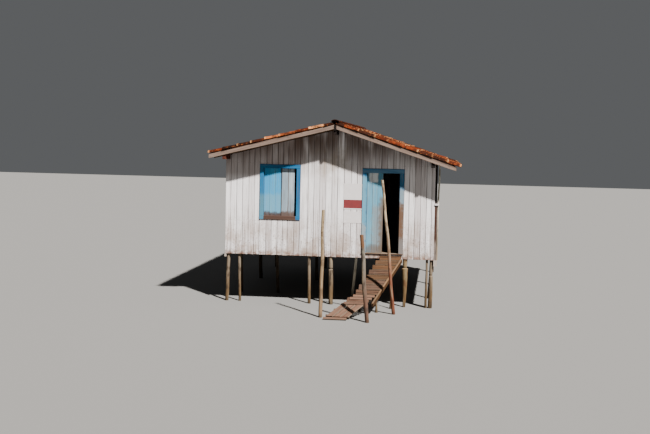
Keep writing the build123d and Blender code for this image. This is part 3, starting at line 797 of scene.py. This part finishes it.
front_seams = [
    -2.4, -2.28, -2.14, -2.003, -1.864, -1.728, -1.608, -1.452, -1.328, -1.19, -1.068, -0.95, -0.806, -0.672,
    -0.497, -0.36, -0.224, -0.086, 0.05, 0.184, 0.336, 0.5, 0.632, 0.7505, 0.908, 1.044, 1.18, 1.316, 1.452,
    1.588, 1.6975, 1.814, 1.946, 2.076, 2.205, 2.325, 2.4,
]
wall_board_width = 0.137
seam_gap = 0.004
seam_play = 0.012
rafter_gap = 0.003
ragged_foot = 0.009
hole_tolerance = 0.002
shortest_board = 0.02
window_low, window_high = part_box("front_window_frame")
door_head_low, door_head_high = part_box("door_head")
floor_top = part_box("floor_boards")[1].z
window_width = window_high.x - window_low.x
window_height = window_high.z - window_low.z
side_window_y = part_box("side_window_frames")[0].y + window_width / 2

# Nail heads: where they sit on a board, and their outline as radii and heights
nail_levels = (wall_foot + 0.05, 1.885, 3.215)
nail_shares = (0.22, 0.78)
nail_outline = ((0.0045, -0.002), (0.0045, 0.0006), (0.0028, 0.0014))
nail_sides = 8
nail_play_across = 0.008
nail_play_up = 0.012
nail_room = 0.01
nail_below_top = 0.03


def even_seams(start, end, width, rng):
    """Board edges between two ends, about one board width apart."""
    count = round((end - start) / width)
    seams = []
    for i in range(count + 1):
        seams.append(start + (end - start) * i / count + rng.uniform(-seam_play, seam_play))
    seams[0] = start
    seams[-1] = end
    return seams


def seams_with(seams, *needed):
    """Moves the nearest seams onto the edges of a hole."""
    for edge in needed:
        nearest = min(range(1, len(seams) - 1), key=lambda i: abs(seams[i] - edge))
        seams[nearest] = edge
    return seams


def add_wall(shape, put, seams, top, holes, rng):
    """Upright boards between the seams; a hole is given by its left, right, low and high edges."""
    for left, right in zip(seams, seams[1:]):
        spans = [(wall_foot, top)]
        for hole_left, hole_right, hole_low, hole_high in holes:
            if left > hole_left - hole_tolerance and right < hole_right + hole_tolerance:
                spans = [(wall_foot, hole_low), (hole_high, top)]
        tone = (rng.random(), rng.random())
        for start, end in spans:
            if value_at(end, (left + right) / 2) - start < shortest_board:
                continue
            add_board(
                shape, put, left + seam_gap / 2, right - seam_gap / 2, start, end, board_thickness, rng,
                ragged=ragged_foot if start == wall_foot else 0.0, tone=tone, lap=seam_gap,
            )


def add_nails(shape, put, seams, top, holes, rng):
    """Two flat nail heads on each board at each rail."""
    for left, right in zip(seams, seams[1:]):
        for level in nail_levels:
            for share in nail_shares:
                across = left + (right - left) * share + rng.uniform(-nail_play_across, nail_play_across)
                up = level + rng.uniform(-nail_play_up, nail_play_up)
                blocked = any(
                    a - nail_room < across < b + nail_room and c - nail_room < up < d + nail_room
                    for a, b, c, d in holes
                )
                if blocked or up > value_at(top, across) - nail_below_top:
                    continue
                corners = []
                grain = (across, 0, up)
                for radius, out in nail_outline:
                    for i in range(nail_sides):
                        angle = math.tau * i / nail_sides
                        point = put(across + radius * math.cos(angle), out, up + radius * math.sin(angle))
                        corners.append((point, grain, grain))
                shape.add(corners, closed_sleeve(nail_sides, len(nail_outline) - 1))


def make_walls():
    rng = random.Random(11)
    nails = Shape()

    def raise_wall(name, nodes, put, seams, top, holes):
        """The boards of one wall as a piece, and their nails with those of the other walls."""
        wall = Shape()
        add_wall(wall, put, seams, top, holes, rng)
        wall.piece(f"{name}_boards", ["whitewash"], nodes)
        add_nails(nails, put, seams, top, holes, rng)

    def gable_top(across):
        return roof_line(across) - rafter_gap

    def rear_top(across):
        return gable_top(-across)

    window = (window_low.x, window_high.x, window_low.z, window_high.z)
    door = (door_head_low.x, door_head_high.x, floor_top, door_head_high.z)
    put = placed(Vector((0, front, 0)), RIGHT, -BACK, UP)
    nodes = ["front_wall_left", "front_wall_right", "front_wall_over_door", "front_wall_below_door"]
    raise_wall("front_wall", nodes, put, [middle + x for x in front_seams], gable_top, [window, door])

    put = placed(Vector((0, back, 0)), -RIGHT, BACK, UP)
    edges = (-middle - window_width / 2, -middle + window_width / 2)
    seams = seams_with(even_seams(-house_right, -house_left, wall_board_width, rng), *edges)
    raise_wall("rear_wall", ["rear_wall"], put, seams, rear_top, [(*edges, window_low.z, window_high.z)])

    hole = (side_window_y - window_width / 2, side_window_y + window_width / 2)
    for side, name, high in ((-1, "left_wall", left_wall_high), (1, "right_wall", right_wall_high)):
        face = house_left if side < 0 else house_right
        put = placed(Vector((face, 0, 0)), BACK * side, RIGHT * side, UP)
        ends = sorted((side * left_wall_low.y, side * left_wall_high.y))
        edges = sorted((side * hole[0], side * hole[1]))
        seams = seams_with(even_seams(*ends, wall_board_width, rng), *edges)
        raise_wall(name, [name], put, seams, high.z, [(*edges, window_low.z, window_high.z)])
    nails.piece("nail_heads", ["iron"])


make_walls()


# Windows and shutters

frame_member = 0.088
frame_proud = 0.018
frame_depth = 0.091
member_looks = {"bevel": 0.004, "wobble": 0.002, "bow": 0.0}
leaf_board_gap = 0.0015
leaf_skin_share = 0.62
shutter_ledge_width = 0.07
ledge_inset = 0.18
ledge_short = 0.004
shutter_setback = 0.042
shutter_thickness = 0.024
shutter_gap = 0.004


def window_places():
    """Each window's frame of reference: its middle on the outer face of its wall."""
    z = (window_low.z + window_high.z) / 2
    front_x = (window_low.x + window_high.x) / 2
    return {
        "front": (Vector((front_x, front, z)), RIGHT, -BACK),
        "left": (Vector((house_left, side_window_y, z)), -BACK, -RIGHT),
        "right": (Vector((house_right, side_window_y, z)), BACK, RIGHT),
        "rear": (Vector((middle, back, z)), -RIGHT, BACK),
    }


def add_window_frame(shape, place, rng):
    """Four members round a window: the side ones stand between the top and the bottom one."""
    origin, across, out = place
    face = origin + out * frame_proud
    half_width = window_width / 2
    half_height = window_height / 2
    inner = half_height - frame_member
    level = placed(face - across * half_width, UP, out, across)
    for low in (-half_height, inner):
        add_board(
            shape, level, low, low + frame_member, 0, window_width, frame_depth, rng, **member_looks
        )
    upright = placed(face, across, out, UP)
    for left in (-half_width, half_width - frame_member):
        add_board(
            shape, upright, left, left + frame_member, -inner, inner, frame_depth, rng, **member_looks
        )


def add_leaf(shape, put, left, right, low, high, thickness, boards, ledges, ledge_width, rng):
    """A ledged leaf: upright boards outside and cross ledges on the inner side."""
    skin = thickness * leaf_skin_share
    width = (right - left) / boards
    for i in range(boards):
        start = left + width * i + (leaf_board_gap if i else 0)
        end = left + width * (i + 1) - (leaf_board_gap if i < boards - 1 else 0)
        add_board(shape, put, start, end, low, high, skin, rng, bevel=0.002, wobble=0.001, bow=0.0)
    across, out, up = (put(*axis) - put(0, 0, 0) for axis in ((1, 0, 0), (0, 1, 0), (0, 0, 1)))
    length = right - left - 2 * ledge_short
    for level in ledges:
        bar = placed(put(left + ledge_short, -skin, level - ledge_width / 2), up, out, across)
        add_board(shape, bar, 0, ledge_width, 0, length, thickness - skin, rng, bow=0.0)


def make_front_leaf(
    node, key, slot, boards, rng, body="house", ledges=None, ledge_width=shutter_ledge_width
):
    """A leaf that lies in the plane of the gable and fills the box of its node."""
    low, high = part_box(node)
    ledges = ledges or (low.z + ledge_inset, high.z - ledge_inset)
    put = placed(Vector((0, low.y, 0)), RIGHT, -BACK, UP)
    leaf = Shape()
    add_leaf(leaf, put, low.x, high.x, low.z, high.z, high.y - low.y, boards, ledges, ledge_width, rng)
    leaf.piece(f"{node}_boards", [key], [node], body)


def make_windows():
    rng = random.Random(23)
    places = window_places()
    casing = Shape()
    add_window_frame(casing, places["front"], rng)
    casing.piece("front_window_casing", ["window_blue"], ["front_window_frame"])
    make_front_leaf("front_shutter_left", "light_blue", "light_blue_paint", 3, rng)
    make_front_leaf("front_shutter_right", "pale_blue", "pale_blue_paint", 2, rng)

    frames = Shape()
    leaves = Shape()
    reach = window_width / 2 - frame_member
    tall = window_height / 2 - frame_member
    ledges = (-tall + ledge_inset, tall - ledge_inset)
    for name in ("left", "right", "rear"):
        add_window_frame(frames, places[name], rng)
        origin, across, out = places[name]
        put = placed(origin - out * shutter_setback, across, out, UP)
        outer = reach - shutter_gap
        for left, right in ((-outer, -shutter_gap / 2), (shutter_gap / 2, outer)):
            add_leaf(
                leaves, put, left, right, -tall, tall - shutter_gap, shutter_thickness, 3, ledges,
                shutter_ledge_width, rng,
            )
    frames.piece("side_window_casings", ["blue"], ["side_window_frames"])
    leaves.piece("side_shutter_boards", ["light_blue"], ["side_window_shutters"])


make_windows()


# Door

door_ledges = (1.56, 2.16, 2.76)
door_ledge_width = 0.1


def make_door():
    rng = random.Random(31)
    for node, along, key in (
        ("door_jamb_left", UP, "left_jamb_blue"),
        ("door_jamb_right", UP, "right_jamb_blue"),
        ("door_head", RIGHT, "blue"),
        ("door_sill", RIGHT, "planks"),
    ):
        member = Shape()
        add_boxed(member, *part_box(node), along, -BACK, rng, **member_looks)
        member.piece(f"{node}_timber", [key], [node])

    ledges = {"ledges": door_ledges, "ledge_width": door_ledge_width}
    make_front_leaf("door_leaf_left", "leaf_blue", "light_blue_paint", 3, rng, "left_leaf", **ledges)

    low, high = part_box("door_leaf_right")
    leaf = Shape()
    put = placed(Vector((low.x, 0, 0)), -BACK, -RIGHT, UP)
    add_leaf(leaf, put, -high.y, -low.y, low.z, high.z, high.x - low.x, 3, rng=rng, **ledges)
    leaf.piece("door_leaf_right_boards", ["right_leaf_blue"], ["door_leaf_right"], "right_leaf")


make_door()


# Roof

cover_pitch = 0.198
cover_inset = 0.082
tile_width = 0.156
tile_length = 0.4
tile_exposure = 0.34
tile_thickness = 0.012
tile_wave = 0.0012
tile_arc = 9
tile_rings = 4
tile_sway = 0.01
end_tile_shift = 0.008
tile_slip_up = 0.03
tile_slip_down = 0.035
tile_twist = math.radians(2.6)
tile_tilt = (0.012, 0.022)
tile_bed_play = 0.006
tile_width_play = 0.008
tile_tone_spread = 0.32
top_gap = 0.03
eave_end_gap = 0.004
ridge_tile_length = 0.39
ridge_tile_exposure = 0.335
ridge_tile_lift = 0.004
ridge_tile_tilt = 0.009
ridge_tile_taper = 0.08
ridge_tile_sway = 0.004
ridge_tile_turn = 0.012
ridge_tile_tone = (0.3, 0.16)
ridge_gap = 0.03
barge_thickness = 0.025
ridge_end_play = 0.003
ridge_end_below = 0.03
ridge_end_above = 0.085

# Rise, taper, height over the battens and usual tone on the left and the right slope
# The left slope's tiles have a lighter usual tone: painted light, making up for the weaker sun on that
# slope.
cover_tile = (0.056, 0.2, 0.008, {-1: 0.66, 1: 0.39})
channel_tile = (-0.044, -0.16, 0.002, {-1: 0.6, 1: 0.3})


def slope_axes(side):
    """The directions down a slope and out of it."""
    cosine = math.cos(pitch[side])
    sine = math.sin(pitch[side])
    return Vector((side * cosine, 0, -sine)), Vector((side * sine, 0, cosine))


def near_tone(usual, spread, rng):
    """A tone from 0 to 1 that lies around the usual one."""
    return min(1, max(0, rng.gauss(usual, spread)))


def add_tile(shape, put, width, length, rise, taper, tone, rng):
    """A barrel tile: put(across, out, down) places it, with its crown up for a positive rise."""
    seed = rng.uniform(0, 90)
    corners = []
    for ring in range(tile_rings + 1):
        share = ring / tile_rings
        half = width / 2 * (1 + taper * (share - 0.5))
        for shell in (0, 1):
            for i in range(tile_arc):
                angle = math.pi * (i / (tile_arc - 1) - 0.5)
                across = (half - shell * tile_thickness * 0.8) * math.sin(angle)
                out = (abs(rise) - shell * tile_thickness) * math.cos(angle)
                if rise < 0:
                    out = abs(rise) - out
                wave = tile_wave * noise.noise(Vector((seed, share * 3, angle)))
                corners.append((
                    put(across, out + wave, length * share),
                    (across + seed, out, length * share),
                    (*tone, share),
                ))
    count = 2 * tile_arc
    loop = list(range(tile_arc)) + list(range(count - 1, tile_arc - 1, -1))
    faces = sleeve(loop, count, tile_rings)
    for end in (0, tile_rings * count):
        for i in range(end, end + tile_arc - 1):
            faces.append((i, i + 1, i + tile_arc + 1, i + tile_arc))
    shape.add(corners, faces)


def make_slope_tiles(side, node):
    """Courses of channel tiles and of cover tiles over their joints, laid from the eave up."""
    rng = random.Random(40 + side)
    shape = Shape()
    low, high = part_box(node)
    run = max(ridge_x - low.x, high.x - ridge_x)
    down, out = slope_axes(side)
    top = Vector((ridge_x, 0, ridge_z + batten_rise))
    slope_length = run / math.cos(pitch[side]) - tile_layer * math.sin(pitch[side])
    first = low.y + cover_inset
    last = high.y - cover_inset
    middle_y = (first + last) / 2
    columns = round((last - first) / cover_pitch)
    courses = math.ceil((slope_length - top_gap) / tile_exposure)
    for course in range(courses):
        lower = slope_length - eave_end_gap - course * tile_exposure
        upper = max(top_gap, lower - tile_length)
        for cover in (False, True):
            rise, taper, height, usual_tone = cover_tile if cover else channel_tile
            count = columns + 1 if cover else columns
            for i in range(count):
                y = first + (last - first) * (i + (0 if cover else 0.5)) / columns
                inner = 0 < i < count - 1
                shift = math.copysign(end_tile_shift, middle_y - y)
                y += rng.uniform(-tile_sway, tile_sway) if inner else shift
                slip = rng.uniform(-tile_slip_up, tile_slip_down if course else 0)
                twist = rng.uniform(-tile_twist, tile_twist) if inner else 0
                along = down * math.cos(twist) + BACK * math.sin(twist)
                across = BACK * math.cos(twist) - down * math.sin(twist)
                tilt = rng.uniform(*tile_tilt) / tile_length
                base = height + rng.uniform(0, tile_bed_play)
                origin = top + down * (upper + slip) + BACK * y + out * base
                put = placed(origin, across, out, along + out * tilt)
                tone = (near_tone(usual_tone[side], tile_tone_spread, rng), rng.random())
                width = tile_width + rng.uniform(-tile_width_play, tile_width_play)
                add_tile(shape, put, width, lower - upper, rise, taper, tone, rng)
    shape.piece(f"{node}_laid", ["tiles"], [node])


def make_ridge_tiles():
    rng = random.Random(47)
    shape = Shape()
    low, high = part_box("ridge_tiles")
    reach = high.y - low.y - ridge_tile_length
    count = round(reach / ridge_tile_exposure)
    exposure = reach / count
    foot_level = low.z + ridge_tile_lift
    rise = high.z - foot_level - tile_thickness
    width = high.x - low.x - tile_thickness
    for i in range(count + 1):
        start = low.y + i * exposure + ridge_tile_length
        sway = rng.uniform(-ridge_tile_sway, ridge_tile_sway)
        origin = Vector((ridge_x, start, foot_level)) + RIGHT * sway
        along = -BACK + RIGHT * rng.uniform(-ridge_tile_turn, ridge_tile_turn)
        put = placed(origin, RIGHT, UP, along + UP * (ridge_tile_tilt / ridge_tile_length))
        tone = (near_tone(*ridge_tile_tone, rng), rng.random() * 0.4)
        add_tile(shape, put, width, ridge_tile_length, rise, ridge_tile_taper, tone, rng)
    shape.piece("ridge_tiles_laid", ["tiles"], ["ridge_tiles"])


def add_barge_board(shape, side, run, face, out, rng):
    """A board down one side of a gable, cut upright at the ridge and at the eave."""
    angle = pitch[side]
    down, across = slope_axes(side)

    def start(a):
        return -a * math.tan(angle) + ridge_gap / math.cos(angle)

    def end(a):
        return run / math.cos(angle) - a * math.tan(angle)

    put = placed(Vector((ridge_x, face, ridge_z)), across, out, down)
    width = batten_rise * math.cos(angle)
    add_board(
        shape, put, 0, width, start, end, barge_thickness, rng, bevel=0.003, wobble=0.004, bow=0.0
    )


def add_ridge_end(shape, face, out, rng):
    """The end of the ridge beam, which shows between the tops of two barge boards: painted near black as
    painted shade.
    """
    inside = face - out.y * barge_thickness
    reach = ridge_gap - ridge_end_play
    low = (ridge_x - reach, min(face, inside), ridge_z - ridge_end_below)
    high = (ridge_x + reach, max(face, inside), ridge_z + ridge_end_above)
    add_boxed(shape, low, high, UP, out, rng, bevel=0.003, bow=0.0, material=1)


def make_barge_boards():
    rng = random.Random(53)
    for side, node in ((-1, "barge_boards_left"), (1, "barge_boards_right")):
        low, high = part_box(node)
        run = max(ridge_x - low.x, high.x - ridge_x)
        shape = Shape()
        for face, out in ((low.y, -BACK), (high.y, BACK)):
            add_barge_board(shape, side, run, face, out, rng)
            if side > 0:
                add_ridge_end(shape, face, out, rng)
        shape.piece(f"{node}_timber", ["barge", "ridge_end"], [node])


make_slope_tiles(-1, "roof_tiles_left")
make_slope_tiles(1, "roof_tiles_right")
make_ridge_tiles()
make_barge_boards()


# Legs and poles, counted row by row from the left

yellow_leg = 4
# This rear leg stands in shade and gets the near-white logs: painted light.
pale_leg = 2
stout_pole = 1
stout_pole_shift = 0.006
stout_pole_taper = 0.005
ramp_leg_short = 0.02
cleat_lap = 0.004
cleat_reach = 0.092
cleat_thickness = 0.02
cleat_low = 2.342
cleat_high = 2.384


def stub_profile(joint, stub, step, foot=1, head=1):
    """A log that carries a thinner stub above a dark joint, and may widen from its foot to its head."""

    def radius_at(share, radius):
        if share > joint + 0.02:
            return radius * stub
        if share > joint:
            return radius * stub * step
        return radius * (foot + (head - foot) * share / joint)

    return radius_at


leg_profiles = {
    3: stub_profile(0.72, 0.86, 0.72),
    yellow_leg: stub_profile(0.8, 0.92, 0.72, 0.86, 1.34),
    6: stub_profile(0.66, 0.86, 0.76),
}


def make_legs():
    rng = random.Random(61)
    front_legs = Shape()
    for i, log in enumerate(cad_logs("stilts_front")):
        material = 1 if i == yellow_leg else 0
        add_log(front_legs, *log, rng, step=0.022, profile=leg_profiles.get(i), material=material)
    front_legs.piece("front_legs", ["logs", "yellow_logs"], ["stilts_front"])

    rear_legs = Shape()
    for i, log in enumerate(cad_logs("stilts_behind")):
        add_log(rear_legs, *log, rng, material=1 if i == pale_leg else 0)
    rear_legs.piece("rear_legs", ["dark_logs", "pale_logs"], ["stilts_behind"])

    ramp_legs = Shape()
    for foot, top, *radii in cad_logs("ramp_legs"):
        add_log(ramp_legs, foot, top - UP * ramp_leg_short, *radii, rng)
    ramp_legs.piece("ramp_leg_logs", ["logs"], ["ramp_legs"])

    poles = Shape()
    found = sorted(cad_logs("poles"), key=lambda log: log[0].x)
    for i, (foot, top, foot_radius, top_radius) in enumerate(found):
        if i == stout_pole:
            top = top + BACK * stout_pole_shift
            top_radius = foot_radius - stout_pole_taper
        add_log(poles, foot, top, foot_radius, top_radius, rng, bend=0.018, step=0.05, material=i)
    poles.piece("pole_logs", ["pole_a", "pole_b", "pole_c", "eave_pole"], ["poles"])


def make_cleat():
    """The small white cleat that ties the pole under the eave to the corner post."""
    rng = random.Random(67)
    low = (house_right - cleat_lap, front - cleat_thickness, cleat_low)
    high = (house_right + cleat_reach, front - 0.0005, cleat_high)
    shape = Shape()
    add_boxed(shape, low, high, RIGHT, -BACK, rng, bevel=0.003)
    shape.piece("corner_cleat", ["whitewash"])


make_legs()
make_cleat()


# Ramp

ramp_top = spot(1.441, -0.022, 1.177)
ramp_bend = spot(0.948, -0.8, 0.42)
ramp_foot = spot(0.35, -1.563, 0.016)
ramp_width = 0.488
tread_count = 8
tread_gap = (0.003, 0.008)
tread_loss = (0.005, 0.014)
tread_dip = 0.003
tread_left = (-0.018, 0.02)
tread_short = 0.003
tread_thickness = 0.028
warm_treads = (0, 1, 2, 4)
stringer_height = 0.12
stringer_thickness = 0.042
stringer_inset = 0.038
edge_board_slip = 0.22
edge_board_short = 0.07
plank_count = 3
plank_thickness = 0.027
plank_gap = (0.012, 0.02)
plank_foot_gap = 0.012
plank_foot_play = 0.03
plank_head_gap = (0.006, 0.02)
foot_board = 0.085
cross_share = 0.62
cross_count = 4
cross_thickness = 0.026
cross_gap = 0.012
cross_overlap = 0.01
foot_start = 0.028
foot_short = 0.018
foot_reach = 0.02
batten_count = 4
batten_width = 0.07
batten_depth = 0.04
batten_drop = 0.028
batten_reach = (0.04, 0.07)
batten_short = 0.02


def ramp_frame(low, high):
    """One section: its directions up the slope, out of it and along its skewed run, length and skew."""
    rise = Vector((0, high.y - low.y, high.z - low.z))
    length = rise.length
    along = rise / length
    out = Vector((0, -along.z, along.y))
    skew = (high.x - low.x) / length
    return along, out, along + RIGHT * skew, length, skew


def make_ramp_treads(rng):
    """Boards across the upper section, cut along its skewed right edge."""
    along, out, run, length, skew = ramp_frame(ramp_bend, ramp_top)
    shape = Shape()
    tread_pitch = length / tread_count

    def right_end(a):
        return ramp_width / 2 - tread_short + a * skew

    for i in range(tread_count):
        start = length - (i + 1) * tread_pitch + rng.uniform(*tread_gap)
        depth = tread_pitch - rng.uniform(*tread_loss)
        centre = ramp_bend + run * (start + depth / 2)
        put = placed(centre - out * rng.uniform(0, tread_dip), along, out, RIGHT)
        left = -ramp_width / 2 + rng.uniform(*tread_left)
        add_board(
            shape, put, -depth / 2, depth / 2, left, right_end, tread_thickness - 0.001, rng,
            bevel=0.004, wobble=0.005, bow=0.002, step=0.08, material=1 if i in warm_treads else 0,
        )
    shape.piece("ramp_tread_boards", ["planks", "warm_planks"], ["ramp_treads"])


def make_ramp_stringers(rng):
    """Two boards on edge under the treads, and one beside them on the right."""
    along, out, run, length, _ = ramp_frame(ramp_bend, ramp_top)
    shape = Shape()
    underside = tread_thickness + stringer_height

    def wall_end(a):
        """Where a board meets the wall's face, at a height of a over its underside."""
        return (front - 0.001 - ramp_bend.y - out.y * (a - underside)) / along.y

    for side in (-1, 1):
        face = side * (ramp_width / 2 - stringer_inset)
        put = placed(ramp_bend + RIGHT * face - out * underside, out, RIGHT * side, run)
        add_board(
            shape, put, 0, stringer_height, 0, wall_end, stringer_thickness, rng,
            bevel=0.004, wobble=0.004, bow=0.0, step=0.2,
        )
    face = ramp_width / 2 + stringer_thickness
    put = placed(ramp_bend + RIGHT * face - out * underside, out, RIGHT, run)
    add_board(
        shape, put, 0, underside, -edge_board_slip, length - edge_board_short, stringer_thickness, rng,
        bevel=0.006, wobble=0.006, bow=0.0, step=0.1, ragged=0.02,
    )
    shape.piece("ramp_stringer_boards", ["edge_planks"], ["ramp_stringers"])


def make_ramp_planks(rng):
    """The lower section: long planks between a foot board and a few cross boards."""
    along, out, run, length, _ = ramp_frame(ramp_foot, ramp_bend)
    shape = Shape()
    plank_pitch = ramp_width / plank_count
    cross_start = cross_share * length
    put = placed(ramp_foot, RIGHT, out, run)
    for i in range(plank_count):
        left = -ramp_width / 2 + i * plank_pitch
        add_board(
            shape, put, left, left + plank_pitch - rng.uniform(*plank_gap),
            foot_board + plank_foot_gap + rng.uniform(0, plank_foot_play),
            cross_start - rng.uniform(*plank_head_gap),
            plank_thickness, rng, bevel=0.004, wobble=0.006, bow=0.003, ragged=0.012, step=0.12,
        )
    cross_pitch = (length + cross_overlap - cross_start) / cross_count
    bars = [(foot_start, foot_board - foot_short, foot_reach)]
    bars += [(cross_start + i * cross_pitch, cross_pitch - cross_gap, 0.0) for i in range(cross_count)]
    for start, depth, reach in bars:
        put = placed(ramp_foot + run * (start + depth / 2), along, out, RIGHT)
        add_board(
            shape, put, -depth / 2, depth / 2, -ramp_width / 2 - reach, ramp_width / 2, cross_thickness,
            rng, bevel=0.004, wobble=0.005, bow=0.002, ragged=0.014, step=0.08,
        )
    shape.piece("ramp_plank_boards", ["pink_planks"], ["ramp_long_planks"])


def make_ramp_battens(rng):
    """Bars under the lower section, which reach out on its left."""
    along, out, run, length, _ = ramp_frame(ramp_foot, ramp_bend)
    shape = Shape()
    half = batten_width / 2
    spacing = (length - batten_count * batten_width) / (batten_count - 1)
    for i in range(batten_count):
        start = 2 * batten_width + i * spacing
        put = placed(ramp_foot + run * (start + half) - out * batten_drop, along, out, RIGHT)
        add_board(
            shape, put, -half, half, -ramp_width / 2 - rng.uniform(*batten_reach),
            ramp_width / 2 - batten_short, batten_depth, rng,
            bevel=0.004, wobble=0.004, bow=0.0, ragged=0.01, step=0.1,
        )
    shape.piece("ramp_batten_bars", ["planks"], ["ramp_battens"])


def make_ramp():
    rng = random.Random(71)
    make_ramp_treads(rng)
    make_ramp_stringers(rng)
    make_ramp_planks(rng)
    make_ramp_battens(rng)


make_ramp()


# Floor boards inside

floor_board_width = 0.15
floor_gap = 0.004


def make_floor_boards():
    rng = random.Random(83)
    low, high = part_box("floor_boards")
    shape = Shape()
    seams = even_seams(low.y, high.y, floor_board_width, rng)
    put = placed(Vector((low.x, 0, high.z)), BACK, UP, RIGHT)
    for near, far in zip(seams, seams[1:]):
        left = near + floor_gap / 2
        right = far - floor_gap / 2
        add_board(
            shape, put, left, right, 0, high.x - low.x, high.z - low.z, rng, step=1.2, bow=0.0005
        )
    shape.piece("floor_planks", ["floor"], ["floor_boards"])


make_floor_boards()


# Sheets of paper on the wall

sheet_columns = 10
sheet_rows = 12
sheet_thickness = 0.0006
sheet_gap = 0.001
sheet_wave = 0.0012
sheet_curl = 0.006

# Left and right edge from the gable's middle, foot and top of each sheet, and the two ends of its band
sheets = (
    (0.33, 0.748, 2.2, 2.785, 0.01, 0.39),
    (0.335, 0.742, 1.89, 2.15, 0, 0),
)


def add_sheet(shape, left, right, low, high, band_low, band_high):
    """A thin sheet that follows the boards and lifts a little at its corners."""
    corners = []
    for layer in (0, 1):
        for row in range(sheet_rows + 1):
            for column in range(sheet_columns + 1):
                u = column / sheet_columns
                v = row / sheet_rows
                curl = sheet_curl * max(0, abs(u - 0.5) * 2 - 0.8) * max(0, abs(v - 0.5) * 2 - 0.7) / 0.06
                wave = sheet_wave * (1 + noise.noise(Vector((u * 3, v * 3, left))))
                out = sheet_gap + curl + wave + layer * sheet_thickness
                x = left + (right - left) * u
                z = low + (high - low) * v
                printed = 1.0 if band_low < v < band_high else 0.0
                corners.append(((x, front - out, z), (x, 0, z), (0.5, printed, 0)))
    stride = sheet_columns + 1
    layer_size = stride * (sheet_rows + 1)
    faces = []
    for layer in (0, layer_size):
        for row in range(sheet_rows):
            for column in range(sheet_columns):
                a = layer + row * stride + column
                faces.append((a, a + 1, a + stride + 1, a + stride))
    rim = list(range(sheet_columns))
    rim += [row * stride + sheet_columns for row in range(sheet_rows)]
    rim += [sheet_rows * stride + column for column in range(sheet_columns, 0, -1)]
    rim += [row * stride for row in range(sheet_rows, 0, -1)]
    for a, b in zip(rim, rim[1:] + rim[:1]):
        faces.append((a, b, b + layer_size, a + layer_size))
    shape.add(corners, faces)


def make_paper():
    shape = Shape()
    for left, right, *rest in sheets:
        add_sheet(shape, middle + left, middle + right, *rest)
    shape.piece("paper_sheets", ["paper"])


make_paper()


# Frame timbers and hinges keep their solid shape

node_looks = {
    "iron": ["door_hinge_pins", "hinge_barrels_left", "hinge_barrels_right"],
    # Near-black bearers: painted shade under the wall.
    "dark_timber": ["floor_bearers"],
    # Near-black ridge beam: painted shade under the roof.
    "ridge_end": ["ridge_beam"],
    "floor_frame": ["floor_joists_and_edge_beams"],
    "plates": ["top_plates"],
    "posts": ["wall_posts"],
    "timber": ["wall_rails", "tie_beams", "rafters_left", "rafters_right", "roof_battens"],
}


def dress_nodes():
    for key, nodes in node_looks.items():
        for node in nodes:
            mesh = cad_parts[node].data
            mesh.materials.clear()
            mesh.materials.append(finish[key])


dress_nodes()
